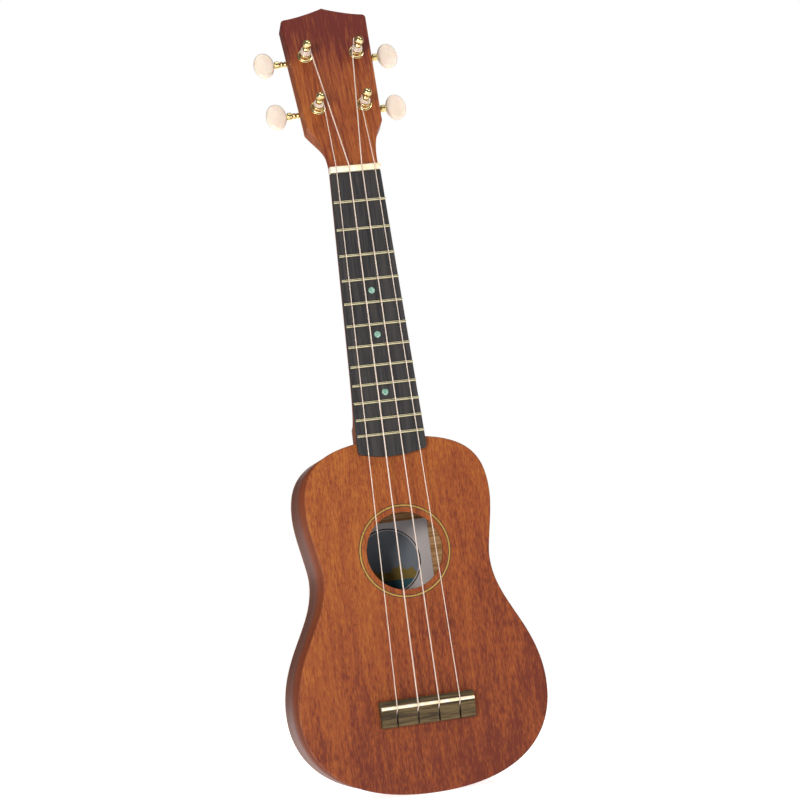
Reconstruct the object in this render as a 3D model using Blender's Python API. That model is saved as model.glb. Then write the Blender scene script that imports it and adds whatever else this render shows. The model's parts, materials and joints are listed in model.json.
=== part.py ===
"""Soprano ukulele, modelled as the separate pieces that it is glued, pressed and screwed up from.

Frame, in metres: +Z runs up the neck towards the headstock, -Y comes out of the soundboard, and
+X is the treble side. The origin is on the centreline, where the fretboard meets the nut, on the
glue plane y = 0 that the top of the neck and the front of the soundboard share.
"""

from math import acos, atan2, cos, hypot, pi, radians, sin

import bmesh
import bpy
from mathutils import Matrix, Vector

MM = 0.001

# Gaps between pieces
GLUE_GAP = 0.25 * MM
INLAY_GAP = 0.1 * MM
RUNNING_GAP = 0.1 * MM
CUT_PAST = 1 * MM

# Scale and strings, from the bass side to the treble side
SCALE_LENGTH = 350 * MM
FRET_COUNT = 12
STRING_NAMES = ("g", "c", "e", "a")
STRING_RADII = (0.31 * MM, 0.44 * MM, 0.40 * MM, 0.31 * MM)
NUT_STRING_SPAN = 26 * MM
SADDLE_STRING_SPAN = 41.6 * MM
FIRST_FRET_ACTION = 0.45 * MM
TWELFTH_FRET_ACTION = 2.5 * MM
COMPENSATION = 1.5 * MM

# Fretboard, frets, nut and position dots
FRETBOARD_THICKNESS = 4.5 * MM
FRETBOARD_NUT_WIDTH = 33.6 * MM
FRETBOARD_BODY_WIDTH = 44.8 * MM
FRETBOARD_PAST_LAST_FRET = 12 * MM
FRETBOARD_END_BULGE = 2.8 * MM
FRETBOARD_CORNER_RADIUS = 2 * MM
FRETBOARD_END_STEPS = 6
FRET_CROWN_WIDTH = 2.0 * MM
FRET_CROWN_HEIGHT = 1.0 * MM
FRET_CROWN_STEPS = 6
FRET_TANG_WIDTH = 0.5 * MM
FRET_TANG_DEPTH = 1.6 * MM
NUT_LENGTH = 4.5 * MM
NUT_OVERHANG = 0.2 * MM
NUT_SLOT_DEPTH = 0.8 * MM
NUT_CROWN = (0.3 * MM, 1.2 * MM)
NUT_BACK_DROP = 1.4 * MM
DOT_RADIUS = 2.1 * MM
DOT_DEPTH = 1.4 * MM
DOT_SPACES = (5, 7, 10)
DOT_STEPS = 16

# Body outline, half of it, seen from the front. Each reach is the length of a curve's handle.
BODY_BELOW_LAST_FRET = 2.5 * MM
BODY_BELOW_SADDLE = 57.5 * MM
TOP_REACH = 51.4 * MM
UPPER_BOUT_HALF = 61.8 * MM
UPPER_BOUT_DROP = 42.6 * MM
UPPER_BOUT_REACHES = (26.2 * MM, 13.1 * MM)
WAIST_HALF = 55.8 * MM
WAIST_DROP = 85.4 * MM
WAIST_REACHES = (9.5 * MM, 30.5 * MM)
LOWER_BOUT_HALF = 82.5 * MM
LOWER_BOUT_RISE = 59.3 * MM
LOWER_BOUT_REACHES = (39.9 * MM, 23.6 * MM)
BOTTOM_REACH = 68.4 * MM
OUTLINE_STEPS = 11

# Soundbox
BODY_DEPTH = 63 * MM
SOUNDBOARD_THICKNESS = 1.8 * MM
BACK_THICKNESS = 1.8 * MM
SIDE_THICKNESS = 1.6 * MM
SOUND_HOLE_RADIUS = 25.3 * MM
SOUND_HOLE_DROP = 74.6 * MM
ROSETTE_FROM_HOLE = 3.4 * MM
ROSETTE_WIDTH = 2.0 * MM
ROSETTE_DEPTH = 0.8 * MM
NECK_BLOCK_HALF = 24 * MM
NECK_BLOCK_LENGTH = 20 * MM
TAIL_BLOCK_HALF = 22 * MM
TAIL_BLOCK_LENGTH = 12 * MM
LINING_WIDTH = 4 * MM
LINING_HEIGHT = 6 * MM
BRACE_WIDTH = 6 * MM
BRACE_HEIGHT = 8 * MM
BRACE_END_HEIGHT = 2.4 * MM
BRACE_SLOPE_LENGTH = 14 * MM
BRACE_END_CLEARANCE = 2.5 * MM
UPPER_BRACE_DROP = 37 * MM
LOWER_BRACE_DROP = 112 * MM
BACK_BRACE_DROP = 122 * MM
BRIDGE_PLATE_SIZE = (74 * MM, 26 * MM)
BRIDGE_PLATE_THICKNESS = 1.2 * MM
LABEL_SIZE = (60 * MM, 53 * MM)
LABEL_DROP = 78.5 * MM
LABEL_THICKNESS = 0.2 * MM
CIRCLE_STEPS = 40

# Neck and heel
NECK_DEPTH_AT_NUT = 13 * MM
NECK_DEPTH_AT_HEEL = 15 * MM
NECK_ROUNDNESS = 2.3
HEEL_SHORT_OF_BACK = 7 * MM
HEEL_CAP_LENGTH = 10 * MM
HEEL_CAP_HALF = 8 * MM
HEEL_CURVE_LENGTH = 34 * MM
HEEL_ROUNDNESS = 1.7
HEEL_SURPLUS = 4 * MM
TENON_WIDTH = 12 * MM
TENON_LENGTH = 14 * MM
TENON_DEPTH = 40 * MM
TENON_ROOT = 2 * MM
ROUND_STEPS = 7
SLAB_SIDE_STEPS = 3
FLAT_STEPS = 2 * (ROUND_STEPS - SLAB_SIDE_STEPS)
HEEL_STEPS = 7
NECK_STEPS = 4

# Headstock. Distances along it start where its front face meets the nut.
HEADSTOCK_TILT = radians(18)
HEADSTOCK_THICKNESS = 14 * MM
SHOULDER_HALF = 25.4 * MM
SHOULDER_ALONG = 33 * MM
SHOULDER_NECK_REACH = 17 * MM
SHOULDER_END_REACH = (4.6 * MM, 7 * MM)
SHOULDER_ROUND = 4 * MM
SHOULDER_ROUND_REACH = (0.9 * MM, 1.4 * MM)
SHOULDER_ROUND_SWELL = 0.4 * MM
SLAB_BLEND_LENGTH = 23 * MM
CORNER_HALF = 29.6 * MM
CORNER_ALONG = 119 * MM
CORNER_RADIUS = 2.2 * MM
PEAK_RISE = 7.2 * MM
PEAK_SHARPNESS = 1.4
SHOULDER_STEPS = 9
SHOULDER_ROUND_STEPS = 3
HEADSTOCK_EDGE_STEPS = 4
CORNER_STEPS = 3

# Bridge and saddle
BRIDGE_WIDTH = 62 * MM
BRIDGE_LENGTH = 17 * MM
BRIDGE_HEIGHT = 7.2 * MM
BRIDGE_REAR_HEIGHT = 5.4 * MM
BRIDGE_CHAMFER = 1.2 * MM
BRIDGE_AHEAD_OF_SADDLE = 3.5 * MM
SADDLE_LENGTH = 61.4 * MM
SADDLE_THICKNESS = 2.2 * MM
SADDLE_SEAT_DEPTH = 3.4 * MM
SADDLE_SHOULDER = 0.7
TIE_SLOT_WIDTH = 1.2 * MM
TIE_SLOT_FLOOR = 1.6 * MM
TIE_SLOT_RUN = 7 * MM
STRING_END_LIFT = 0.4 * MM
STRING_END_FROM_REAR = 1.5 * MM

# Tuning machines
TUNERS = {"g": (-1, "lower"), "c": (-1, "upper"), "e": (1, "upper"), "a": (1, "lower")}
TUNER_ALONG = {"lower": 47 * MM, "upper": 88.4 * MM}
TUNER_EDGE_DISTANCE = 10.5 * MM
POST_RADIUS = 2.5 * MM
POST_WAIST_RADIUS = 1.9 * MM
POST_BALL_RADIUS = 3.1 * MM
POST_BALL_HEIGHT = 14.8 * MM
POST_BALL_DEGREES = (-50, -20, 10, 40, 65)
POST_THROAT_RADIUS = 1.7 * MM
POST_THROAT_LENGTH = 1.6 * MM
POST_COLLAR_LENGTH = 0.6 * MM
POST_TAPER_LENGTH = 0.6 * MM
POST_FOOT_LENGTH = 1 * MM
POST_STEPS = 12
BUSHING_SLEEVE_RADIUS = 3.7 * MM
BUSHING_SLEEVE_DEPTH = 6 * MM
BUSHING_FLANGE_RADIUS = 5.2 * MM
BUSHING_NECK_RADIUS = 3.4 * MM
BUSHING_HEIGHT = 4.6 * MM
BUSHING_FLANGE_HEIGHT = 0.9 * MM
BUSHING_FLANGE_ROUND = (0.5 * MM, 0.4 * MM)
BUSHING_LIP = (0.4 * MM, 1 * MM)
BUSHING_STEPS = 16
STRING_WRAP_HEIGHT = 6.6 * MM
STRING_WRAP_TURNS = 2
STRING_WRAP_STEPS = 10
PLATE_THICKNESS = 1 * MM
PLATE_WIDTH = 11 * MM
PLATE_TAIL = 9.5 * MM
PLATE_NOSE = 9.5 * MM
LUG_THICKNESS = 1 * MM
LUG_LENGTH = 6 * MM
LUG_ROOT = 0.5 * MM
GEAR_TEETH = 14
GEAR_MODULE = 0.63 * MM
GEAR_THICKNESS = 2.2 * MM
TOOTH_RISE = 0.38 * MM
TOOTH_DROP = 0.6 * MM
TOOTH_TIP_SHARE = 0.05
TOOTH_ROOT_SHARE = 0.17
WORM_PITCH_RADIUS = 2.1 * MM
THREAD_ROOT_SHARE = 0.16
THREAD_FLANK_SHARE = 0.1
WORM_STEPS_ROUND = 12
WORM_STEPS_PER_PITCH = 7
WORM_LENGTH = 6.2 * MM
SHAFT_RADIUS = 1.4 * MM
SHAFT_CORE_RADIUS = 1.26 * MM
SHAFT_TAIL = 0.8 * MM
SHAFT_STEPS = 12
BUTTON_OUT_OF_EDGE = 14.6 * MM
BUTTON_WIDTH = 14.4 * MM
BUTTON_HEIGHT = 20 * MM
BUTTON_THICKNESS = 4.2 * MM
BUTTON_SOCKET_DEPTH = 3 * MM
BUTTON_FACE_SHARE = 0.86
BUTTON_EDGE_SHARES = (0.97, 0.55)
BUTTON_STEPS = 16
COLLAR_RADIUS = 2.6 * MM
COLLAR_BEVEL = 0.3 * MM
BEAD_RADIUS = 2.1 * MM
BEAD_HALF_LENGTH = 1.2 * MM
BEAD_OUT_OF_EDGE = 1.6 * MM
BEAD_SPACING = 2.7 * MM
BEAD_DEGREES = (150, 120, 90, 60, 30)


# Places that follow from the sizes


def fret_z(number):
    return -SCALE_LENGTH * (1 - 2 ** (-number / 12))


LAST_FRET_Z = fret_z(FRET_COUNT)
BODY_TOP_Z = LAST_FRET_Z - BODY_BELOW_LAST_FRET
SADDLE_Z = -SCALE_LENGTH - COMPENSATION
BODY_BOTTOM_Z = SADDLE_Z - BODY_BELOW_SADDLE
SOUND_HOLE_Z = BODY_TOP_Z - SOUND_HOLE_DROP
BRIDGE_FRONT_Z = SADDLE_Z + SADDLE_THICKNESS / 2 + BRIDGE_AHEAD_OF_SADDLE
BRIDGE_REAR_Z = BRIDGE_FRONT_Z - BRIDGE_LENGTH
KNEE_Z = BRIDGE_REAR_Z + TIE_SLOT_RUN
FRETBOARD_TOP_Y = -GLUE_GAP - FRETBOARD_THICKNESS
FRET_TOP_Y = FRETBOARD_TOP_Y - FRET_CROWN_HEIGHT
BRIDGE_TOP_Y = -GLUE_GAP - BRIDGE_HEIGHT
INSIDE_FRONT_Y = SOUNDBOARD_THICKNESS + GLUE_GAP
INSIDE_BACK_Y = BODY_DEPTH - BACK_THICKNESS - GLUE_GAP
HEEL_DEPTH = BODY_DEPTH - HEEL_SHORT_OF_BACK
HEADSTOCK_ROOT = Vector((0, 0, NUT_LENGTH))
TO_ROOT = Matrix.Translation(HEADSTOCK_ROOT)
HEADSTOCK_TURN = TO_ROOT @ Matrix.Rotation(pi / 2 - HEADSTOCK_TILT, 4, "X")
GEAR_RADIUS = GEAR_MODULE * GEAR_TEETH / 2
WORM_PITCH = GEAR_MODULE * pi
WORM_OFFSET = GEAR_RADIUS + WORM_PITCH_RADIUS
PLATE_BACK = -HEADSTOCK_THICKNESS - GLUE_GAP - PLATE_THICKNESS
GEAR_LEVEL = PLATE_BACK - 2 * RUNNING_GAP - max(GEAR_THICKNESS / 2, WORM_PITCH_RADIUS + TOOTH_RISE)


# Outlines


def bezier(start, start_handle, end_handle, end, steps):
    """Points along one cubic curve, without its last point."""
    points = []
    for step in range(steps):
        t = step / steps
        weights = ((1 - t) ** 3, 3 * (1 - t) ** 2 * t, 3 * (1 - t) * t * t, t**3)
        curve = (start, start_handle, end_handle, end)
        points.append(tuple(sum(w * p[i] for w, p in zip(weights, curve)) for i in (0, 1)))
    return points


def half_outline():
    """(x, z) down the treble side, from the neck joint to the tail seam."""
    top, bottom = BODY_TOP_Z, BODY_BOTTOM_Z
    upper, waist, lower = top - UPPER_BOUT_DROP, top - WAIST_DROP, bottom + LOWER_BOUT_RISE
    points = bezier(
        (0, top),
        (TOP_REACH, top),
        (UPPER_BOUT_HALF, upper + UPPER_BOUT_REACHES[0]),
        (UPPER_BOUT_HALF, upper),
        OUTLINE_STEPS,
    )
    points += bezier(
        (UPPER_BOUT_HALF, upper),
        (UPPER_BOUT_HALF, upper - UPPER_BOUT_REACHES[1]),
        (WAIST_HALF, waist + WAIST_REACHES[0]),
        (WAIST_HALF, waist),
        OUTLINE_STEPS // 2,
    )
    points += bezier(
        (WAIST_HALF, waist),
        (WAIST_HALF, waist - WAIST_REACHES[1]),
        (LOWER_BOUT_HALF, lower + LOWER_BOUT_REACHES[0]),
        (LOWER_BOUT_HALF, lower),
        OUTLINE_STEPS,
    )
    points += bezier(
        (LOWER_BOUT_HALF, lower),
        (LOWER_BOUT_HALF, lower - LOWER_BOUT_REACHES[1]),
        (BOTTOM_REACH, bottom),
        (0, bottom),
        OUTLINE_STEPS,
    )
    return points + [(0, bottom)]


def inset(points, distance):
    """The same run of points, moved inwards at right angles to the curve."""
    moved = []
    for i, (x, z) in enumerate(points):
        before, after = points[max(i - 1, 0)], points[min(i + 1, len(points) - 1)]
        dx, dz = after[0] - before[0], after[1] - before[1]
        if i in (0, len(points) - 1):
            dz = 0
        length = hypot(dx, dz)
        moved.append((x + dz / length * distance, z - dx / length * distance))
    return moved


def cut_off(points, first_x, last_x):
    """The run between the places where it first passes first_x and last comes back to last_x."""
    run = list(points)
    while run[1][0] <= first_x:
        run.pop(0)
    while run[-2][0] <= last_x:
        run.pop()

    def crossing(a, b, x):
        share = (x - a[0]) / (b[0] - a[0])
        return (x, a[1] + share * (b[1] - a[1]))

    run[0] = crossing(run[0], run[1], first_x)
    run[-1] = crossing(run[-2], run[-1], last_x)
    return run


def half_width_at(z):
    run = half_outline()
    for (x0, z0), (x1, z1) in zip(run, run[1:]):
        if z1 <= z <= z0:
            return x0 + (x1 - x0) * (z0 - z) / (z0 - z1)
    raise ValueError("z is not on the body")


def mirrored(points):
    """A half outline closed by its own mirror image, with no point twice."""
    return points + [(-x, z) for x, z in reversed(points) if x > 0]


def fretboard_half_at(z):
    taper = (FRETBOARD_BODY_WIDTH - FRETBOARD_NUT_WIDTH) / -LAST_FRET_Z
    return (FRETBOARD_NUT_WIDTH - taper * z) / 2


def headstock_side():
    """(half width, along) up one side, from the nut to the top corner."""
    root = FRETBOARD_NUT_WIDTH / 2
    back, down = SHOULDER_END_REACH
    side = bezier(
        (root, 0),
        (root, SHOULDER_NECK_REACH),
        (SHOULDER_HALF - back, SHOULDER_ALONG - down),
        (SHOULDER_HALF, SHOULDER_ALONG),
        SHOULDER_STEPS,
    )
    slope = (CORNER_HALF - SHOULDER_HALF) / (CORNER_ALONG - SHOULDER_ALONG)
    swell = slope * SHOULDER_ROUND + SHOULDER_ROUND_SWELL
    above = (SHOULDER_HALF + swell, SHOULDER_ALONG + SHOULDER_ROUND)
    out, up = SHOULDER_ROUND_REACH
    side += bezier(
        (SHOULDER_HALF, SHOULDER_ALONG),
        (SHOULDER_HALF + out, SHOULDER_ALONG + up),
        (above[0], above[1] - up),
        above,
        SHOULDER_ROUND_STEPS,
    )
    corner = (CORNER_HALF, CORNER_ALONG)
    side += bezier(above, above, corner, corner, HEADSTOCK_EDGE_STEPS)
    side += quarter(CORNER_HALF - CORNER_RADIUS, CORNER_ALONG - CORNER_RADIUS, CORNER_RADIUS, 1)
    return side


def quarter(centre_x, centre_z, radius, way):
    """A quarter circle's points from its outer side to its end, upwards or, with way -1, down."""
    turns = [step / CORNER_STEPS * pi / 2 for step in range(CORNER_STEPS + 1)]
    return [(centre_x + radius * cos(t), centre_z + way * radius * sin(t)) for t in turns]


def headstock_half_at(along):
    side = headstock_side()
    for (x0, a0), (x1, a1) in zip(side, side[1:]):
        if a0 <= along <= a1:
            return x0 + (x1 - x0) * (along - a0) / (a1 - a0)
    raise ValueError("along is past the headstock")


def tuner_place(name):
    """(x, along) of a tuner's post on the headstock's face."""
    side, row = TUNERS[name]
    along = TUNER_ALONG[row]
    return side * (headstock_half_at(along) - TUNER_EDGE_DISTANCE), along


# Making pieces


def material(name, colour, roughness, metallic=0.0):
    """A plain finish from an sRGB hex colour."""
    made = bpy.data.materials.new(name)
    made.use_nodes = True
    shader = made.node_tree.nodes["Principled BSDF"]
    channels = [int(colour[i : i + 2], 16) / 255 for i in (1, 3, 5)]
    linear = [c / 12.92 if c <= 0.04045 else ((c + 0.055) / 1.055) ** 2.4 for c in channels]
    shader.inputs["Base Color"].default_value = (*linear, 1)
    shader.inputs["Roughness"].default_value = roughness
    shader.inputs["Metallic"].default_value = metallic
    return made


def piece(name, bm, finish, parent=None, smooth_under=None):
    """An object made from a bmesh, with its faces turned outwards."""
    bmesh.ops.remove_doubles(bm, verts=bm.verts, dist=1e-7)
    bmesh.ops.recalc_face_normals(bm, faces=bm.faces)
    mesh = bpy.data.meshes.new(name)
    bm.to_mesh(mesh)
    bm.free()
    if smooth_under is not None:
        mesh.shade_smooth()
        mesh.set_sharp_from_angle(angle=smooth_under)
    if finish is not None:
        mesh.materials.append(finish)
    made = bpy.data.objects.new(name, mesh)
    made.parent = parent
    bpy.context.scene.collection.objects.link(made)
    return made


def helper(name, bm, parent=None):
    """A cutter or a joined shape, which isn't a piece itself."""
    made = piece(name, bm, None, parent)
    made.hide_render = True
    made.display_type = "WIRE"
    return made


def boolean(target, other, operation):
    step = target.modifiers.new(other.name, "BOOLEAN")
    step.operation = operation
    step.solver = "EXACT"
    step.object = other


def add_prism(bm, corners, run):
    """A flat outline of 3-D corners, pulled along run."""
    face = bm.faces.new([bm.verts.new(corner) for corner in corners])
    pulled = bmesh.ops.extrude_face_region(bm, geom=[face])["geom"]
    verts = [item for item in pulled if isinstance(item, bmesh.types.BMVert)]
    bmesh.ops.translate(bm, verts=verts, vec=run)


def prism(corners, run):
    bm = bmesh.new()
    add_prism(bm, corners, run)
    return bm


def board(outline, front, back):
    """An (x, z) outline made solid between two y levels."""
    return prism([(x, front, z) for x, z in outline], (0, back - front, 0))


def add_box(bm, low, high):
    (x0, y0, z0), (x1, y1, z1) = low, high
    add_prism(bm, [(x0, y0, z0), (x1, y0, z0), (x1, y1, z0), (x0, y1, z0)], (0, 0, z1 - z0))


def box(low, high):
    bm = bmesh.new()
    add_box(bm, low, high)
    return bm


def turned(profile, steps, axis="Z"):
    """A closed (radius, height) profile spun round an axis through the origin."""
    bm = bmesh.new()
    if axis == "Z":
        verts = [bm.verts.new((radius, 0, height)) for radius, height in profile]
        line = Vector((0, 0, 1))
    else:
        verts = [bm.verts.new((height, 0, radius)) for radius, height in profile]
        line = Vector((1, 0, 0))
    edges = [bm.edges.new((a, b)) for a, b in zip(verts, verts[1:])]
    if profile[0][0] > 0 and profile[-1][0] > 0:
        edges.append(bm.edges.new((verts[-1], verts[0])))
    bmesh.ops.spin(
        bm, geom=verts + edges, cent=(0, 0, 0), axis=line, angle=2 * pi, steps=steps, use_merge=True
    )
    return bm


def rod(radius, low, high, axis="Z"):
    return turned([(0, low), (radius, low), (radius, high), (0, high)], SHAFT_STEPS, axis)


def moved(bm, offset):
    bmesh.ops.translate(bm, verts=bm.verts, vec=offset)
    return bm


def circle(radius, centre_z):
    turns = [2 * pi * i / CIRCLE_STEPS for i in range(CIRCLE_STEPS)]
    return [(radius * cos(turn), centre_z + radius * sin(turn)) for turn in turns]


def facing_front(bm, centre_z):
    """A shape turned about +Z made to face -Y, centred at a height on the centreline."""
    bmesh.ops.rotate(bm, verts=bm.verts, cent=(0, 0, 0), matrix=Matrix.Rotation(pi / 2, 3, "X"))
    return moved(bm, (0, 0, centre_z))


# Soundbox


def make_soundboard(wood, inlay):
    soundboard = piece("soundboard", board(mirrored(half_outline()), 0, SOUNDBOARD_THICKNESS), wood)
    behind = SOUNDBOARD_THICKNESS + CUT_PAST
    hole = board(circle(SOUND_HOLE_RADIUS, SOUND_HOLE_Z), -CUT_PAST, behind)
    boolean(soundboard, helper("sound_hole_cutter", hole), "DIFFERENCE")

    def ring(outer, inner, top, bottom):
        profile = [(outer, top), (outer, -bottom), (inner, -bottom), (inner, top)]
        return facing_front(turned(profile, CIRCLE_STEPS), SOUND_HOLE_Z)

    inner = SOUND_HOLE_RADIUS + ROSETTE_FROM_HOLE
    outer = inner + ROSETTE_WIDTH
    channel = ring(outer + INLAY_GAP, inner - INLAY_GAP, CUT_PAST, ROSETTE_DEPTH + INLAY_GAP)
    boolean(soundboard, helper("rosette_channel_cutter", channel), "DIFFERENCE")
    piece("rosette", ring(outer, inner, 0, ROSETTE_DEPTH), inlay)


def make_sides(wood):
    """Two bent sides that meet at the neck and at the tail, slotted for the neck's tenon."""
    seam = GLUE_GAP / 2
    outer = cut_off(half_outline(), seam, seam)
    inner = cut_off(inset(half_outline(), SIDE_THICKNESS), seam, seam)
    slot_half = TENON_WIDTH / 2 + GLUE_GAP
    slot = box(
        (-slot_half, 0, BODY_TOP_Z - TENON_LENGTH),
        (slot_half, INSIDE_FRONT_Y + TENON_DEPTH + GLUE_GAP, BODY_TOP_Z + CUT_PAST),
    )
    slot_cutter = helper("tenon_slot_cutter", slot)
    for name, side in (("side_bass", -1), ("side_treble", 1)):
        outline = [(side * x, z) for x, z in outer + inner[::-1]]
        bent = piece(name, board(outline, INSIDE_FRONT_Y, INSIDE_BACK_Y), wood)
        boolean(bent, slot_cutter, "DIFFERENCE")


def make_blocks(wood):
    inner = inset(half_outline(), SIDE_THICKNESS + GLUE_GAP)
    at_neck = [(x, z) for x, z in inner if x < NECK_BLOCK_HALF and z > SOUND_HOLE_Z]
    edge = cut_off(inner, 0, 0)
    shoulder = next((a, b) for a, b in zip(edge, edge[1:]) if a[0] <= NECK_BLOCK_HALF < b[0])
    at_neck.append((NECK_BLOCK_HALF, height_at(shoulder, NECK_BLOCK_HALF)))
    base = at_neck[0][1] - NECK_BLOCK_LENGTH
    neck_block = piece(
        "neck_block",
        board(mirrored(at_neck + [(NECK_BLOCK_HALF, base)]), INSIDE_FRONT_Y, INSIDE_BACK_Y),
        wood,
    )
    mortise_half = TENON_WIDTH / 2 + GLUE_GAP
    mortise = box(
        (-mortise_half, -CUT_PAST, BODY_TOP_Z - TENON_LENGTH - GLUE_GAP),
        (mortise_half, TENON_DEPTH + INSIDE_FRONT_Y + GLUE_GAP, BODY_TOP_Z + CUT_PAST),
    )
    boolean(neck_block, helper("mortise_cutter", mortise), "DIFFERENCE")

    at_tail = [(x, z) for x, z in inner if x < TAIL_BLOCK_HALF and z < SOUND_HOLE_Z]
    corner = next((a, b) for a, b in zip(edge, edge[1:]) if a[0] >= TAIL_BLOCK_HALF > b[0])
    at_tail.insert(0, (TAIL_BLOCK_HALF, height_at(corner, TAIL_BLOCK_HALF)))
    base = at_tail[-1][1] + TAIL_BLOCK_LENGTH
    tail = board(mirrored([(TAIL_BLOCK_HALF, base)] + at_tail), INSIDE_FRONT_Y, INSIDE_BACK_Y)
    piece("tail_block", tail, wood)


def height_at(edge, x):
    (x0, z0), (x1, z1) = edge
    return z0 + (z1 - z0) * (x - x0) / (x1 - x0)


def make_linings(wood):
    outline = half_outline()
    outer = inset(outline, SIDE_THICKNESS + GLUE_GAP)
    inner = inset(outline, SIDE_THICKNESS + GLUE_GAP + LINING_WIDTH)
    ends = (NECK_BLOCK_HALF + GLUE_GAP, TAIL_BLOCK_HALF + GLUE_GAP)
    run = cut_off(outer, *ends) + cut_off(inner, *ends)[::-1]
    front = (INSIDE_FRONT_Y, INSIDE_FRONT_Y + LINING_HEIGHT)
    back = (INSIDE_BACK_Y - LINING_HEIGHT, INSIDE_BACK_Y)
    for place, levels in (("front", front), ("back", back)):
        for name, side in (("bass", -1), ("treble", 1)):
            strip = board([(side * x, z) for x, z in run], *levels)
            piece(f"lining_{place}_{name}", strip, wood)


def make_brace(name, drop, levels, wood):
    """A bar across the box between the linings, its top edges rounded off towards the ends."""
    z = BODY_TOP_Z - drop
    walls = SIDE_THICKNESS + LINING_WIDTH + 2 * GLUE_GAP + BRACE_END_CLEARANCE
    half = min(half_width_at(z + BRACE_WIDTH / 2), half_width_at(z - BRACE_WIDTH / 2)) - walls
    glued, free = levels
    low = glued + (BRACE_END_HEIGHT if free > glued else -BRACE_END_HEIGHT)
    full = half - BRACE_SLOPE_LENGTH
    corners = [(-half, glued), (half, glued), (half, low), (full, free)]
    corners += [(-full, free), (-half, low)]
    bar = prism([(x, y, z - BRACE_WIDTH / 2) for x, y in corners], (0, 0, BRACE_WIDTH))
    piece(name, bar, wood)


def make_inside(spruce, rosewood, paper):
    front = (INSIDE_FRONT_Y, INSIDE_FRONT_Y + BRACE_HEIGHT)
    back = (INSIDE_BACK_Y, INSIDE_BACK_Y - BRACE_HEIGHT)
    make_brace("soundboard_brace_upper", UPPER_BRACE_DROP, front, spruce)
    make_brace("soundboard_brace_lower", LOWER_BRACE_DROP, front, spruce)
    make_brace("back_brace", BACK_BRACE_DROP, back, spruce)

    width, length = BRIDGE_PLATE_SIZE
    middle = (BRIDGE_FRONT_Z + BRIDGE_REAR_Z) / 2
    patch = box(
        (-width / 2, INSIDE_FRONT_Y, middle - length / 2),
        (width / 2, INSIDE_FRONT_Y + BRIDGE_PLATE_THICKNESS, middle + length / 2),
    )
    piece("bridge_plate", patch, rosewood)

    width, length = LABEL_SIZE
    middle = BODY_TOP_Z - LABEL_DROP
    sheet = box(
        (-width / 2, INSIDE_BACK_Y - LABEL_THICKNESS, middle - length / 2),
        (width / 2, INSIDE_BACK_Y, middle + length / 2),
    )
    piece("label", sheet, paper)


def make_back(wood):
    outline = mirrored(half_outline())
    piece("back_plate", board(outline, BODY_DEPTH - BACK_THICKNESS, BODY_DEPTH), wood)


# Neck and headstock


def neck_section(half, depth, cap_half, roundness, squareness):
    """(x, depth) round one cross-section: a flat face, then round the back.

    squareness runs from 0, a rounded neck, to 1, a flat slab.
    """
    back = []
    for i in range(ROUND_STEPS + 1):
        turn = i / ROUND_STEPS * pi / 2
        x = cap_half + (half - cap_half) * max(cos(turn), 0) ** (2 / roundness)
        d = depth * sin(turn) ** (2 / roundness)
        if i <= SLAB_SIDE_STEPS:
            slab = (half, depth * i / SLAB_SIDE_STEPS)
        else:
            share = (i - SLAB_SIDE_STEPS) / (ROUND_STEPS - SLAB_SIDE_STEPS)
            slab = (half + (cap_half - half) * share, depth)
        back.append((x + (slab[0] - x) * squareness, d + (slab[1] - d) * squareness))
    loop = back + [(-x, d) for x, d in reversed(back)]
    face = [half * (2 * i / FLAT_STEPS - 1) for i in range(1, FLAT_STEPS)]
    return loop + [(x, 0.0) for x in face]


def neck_depth_at(z):
    share = z / (LAST_FRET_Z + HEEL_CURVE_LENGTH)
    return NECK_DEPTH_AT_NUT + (NECK_DEPTH_AT_HEEL - NECK_DEPTH_AT_NUT) * min(share, 1)


def neck_rings():
    """Every cross-section from the body joint to the tip of the headstock, as 3-D corners."""
    rings = []
    cap_end = BODY_TOP_Z + HEEL_CAP_LENGTH
    end = neck_section(fretboard_half_at(BODY_TOP_Z), HEEL_DEPTH, HEEL_CAP_HALF, HEEL_ROUNDNESS, 0)
    rings.append([(x, d, BODY_TOP_Z - HEEL_SURPLUS) for x, d in end])

    for step in range(HEEL_STEPS + 1):
        turn = pi / 2 * (1 - step / HEEL_STEPS)
        z = cap_end + HEEL_CURVE_LENGTH * (1 - sin(turn))
        neck = neck_depth_at(z)
        share = 1 - cos(turn)
        depth = neck + (HEEL_DEPTH - neck) * share
        roundness = NECK_ROUNDNESS + (HEEL_ROUNDNESS - NECK_ROUNDNESS) * share
        section = neck_section(fretboard_half_at(z), depth, HEEL_CAP_HALF * share, roundness, 0)
        rings.append([(x, d, z) for x, d in section])

    neck_start = cap_end + HEEL_CURVE_LENGTH
    for step in range(1, NECK_STEPS + 1):
        z = neck_start * (1 - step / NECK_STEPS)
        section = neck_section(fretboard_half_at(z), neck_depth_at(z), 0, NECK_ROUNDNESS, 0)
        rings.append([(x, d, z) for x, d in section])

    side = headstock_side()
    for half, along in side:
        square = min(along / SLAB_BLEND_LENGTH, 1)
        square = square * square * (3 - 2 * square)
        depth = NECK_DEPTH_AT_NUT + (HEADSTOCK_THICKNESS - NECK_DEPTH_AT_NUT) * square
        section = neck_section(half, depth, 0, NECK_ROUNDNESS, square)
        lean = 0.5 if along == 0 else 1
        place = TO_ROOT @ Matrix.Rotation(pi / 2 - HEADSTOCK_TILT * lean, 4, "X")
        last = (half, along) == side[-1]
        ring = []
        for x, d in section:
            rise = PEAK_RISE * (1 - min(abs(x) / half, 1)) ** PEAK_SHARPNESS if last else 0
            ring.append(place @ Vector((x, along + rise, -d)))
        rings.append(ring)
    return rings


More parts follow.
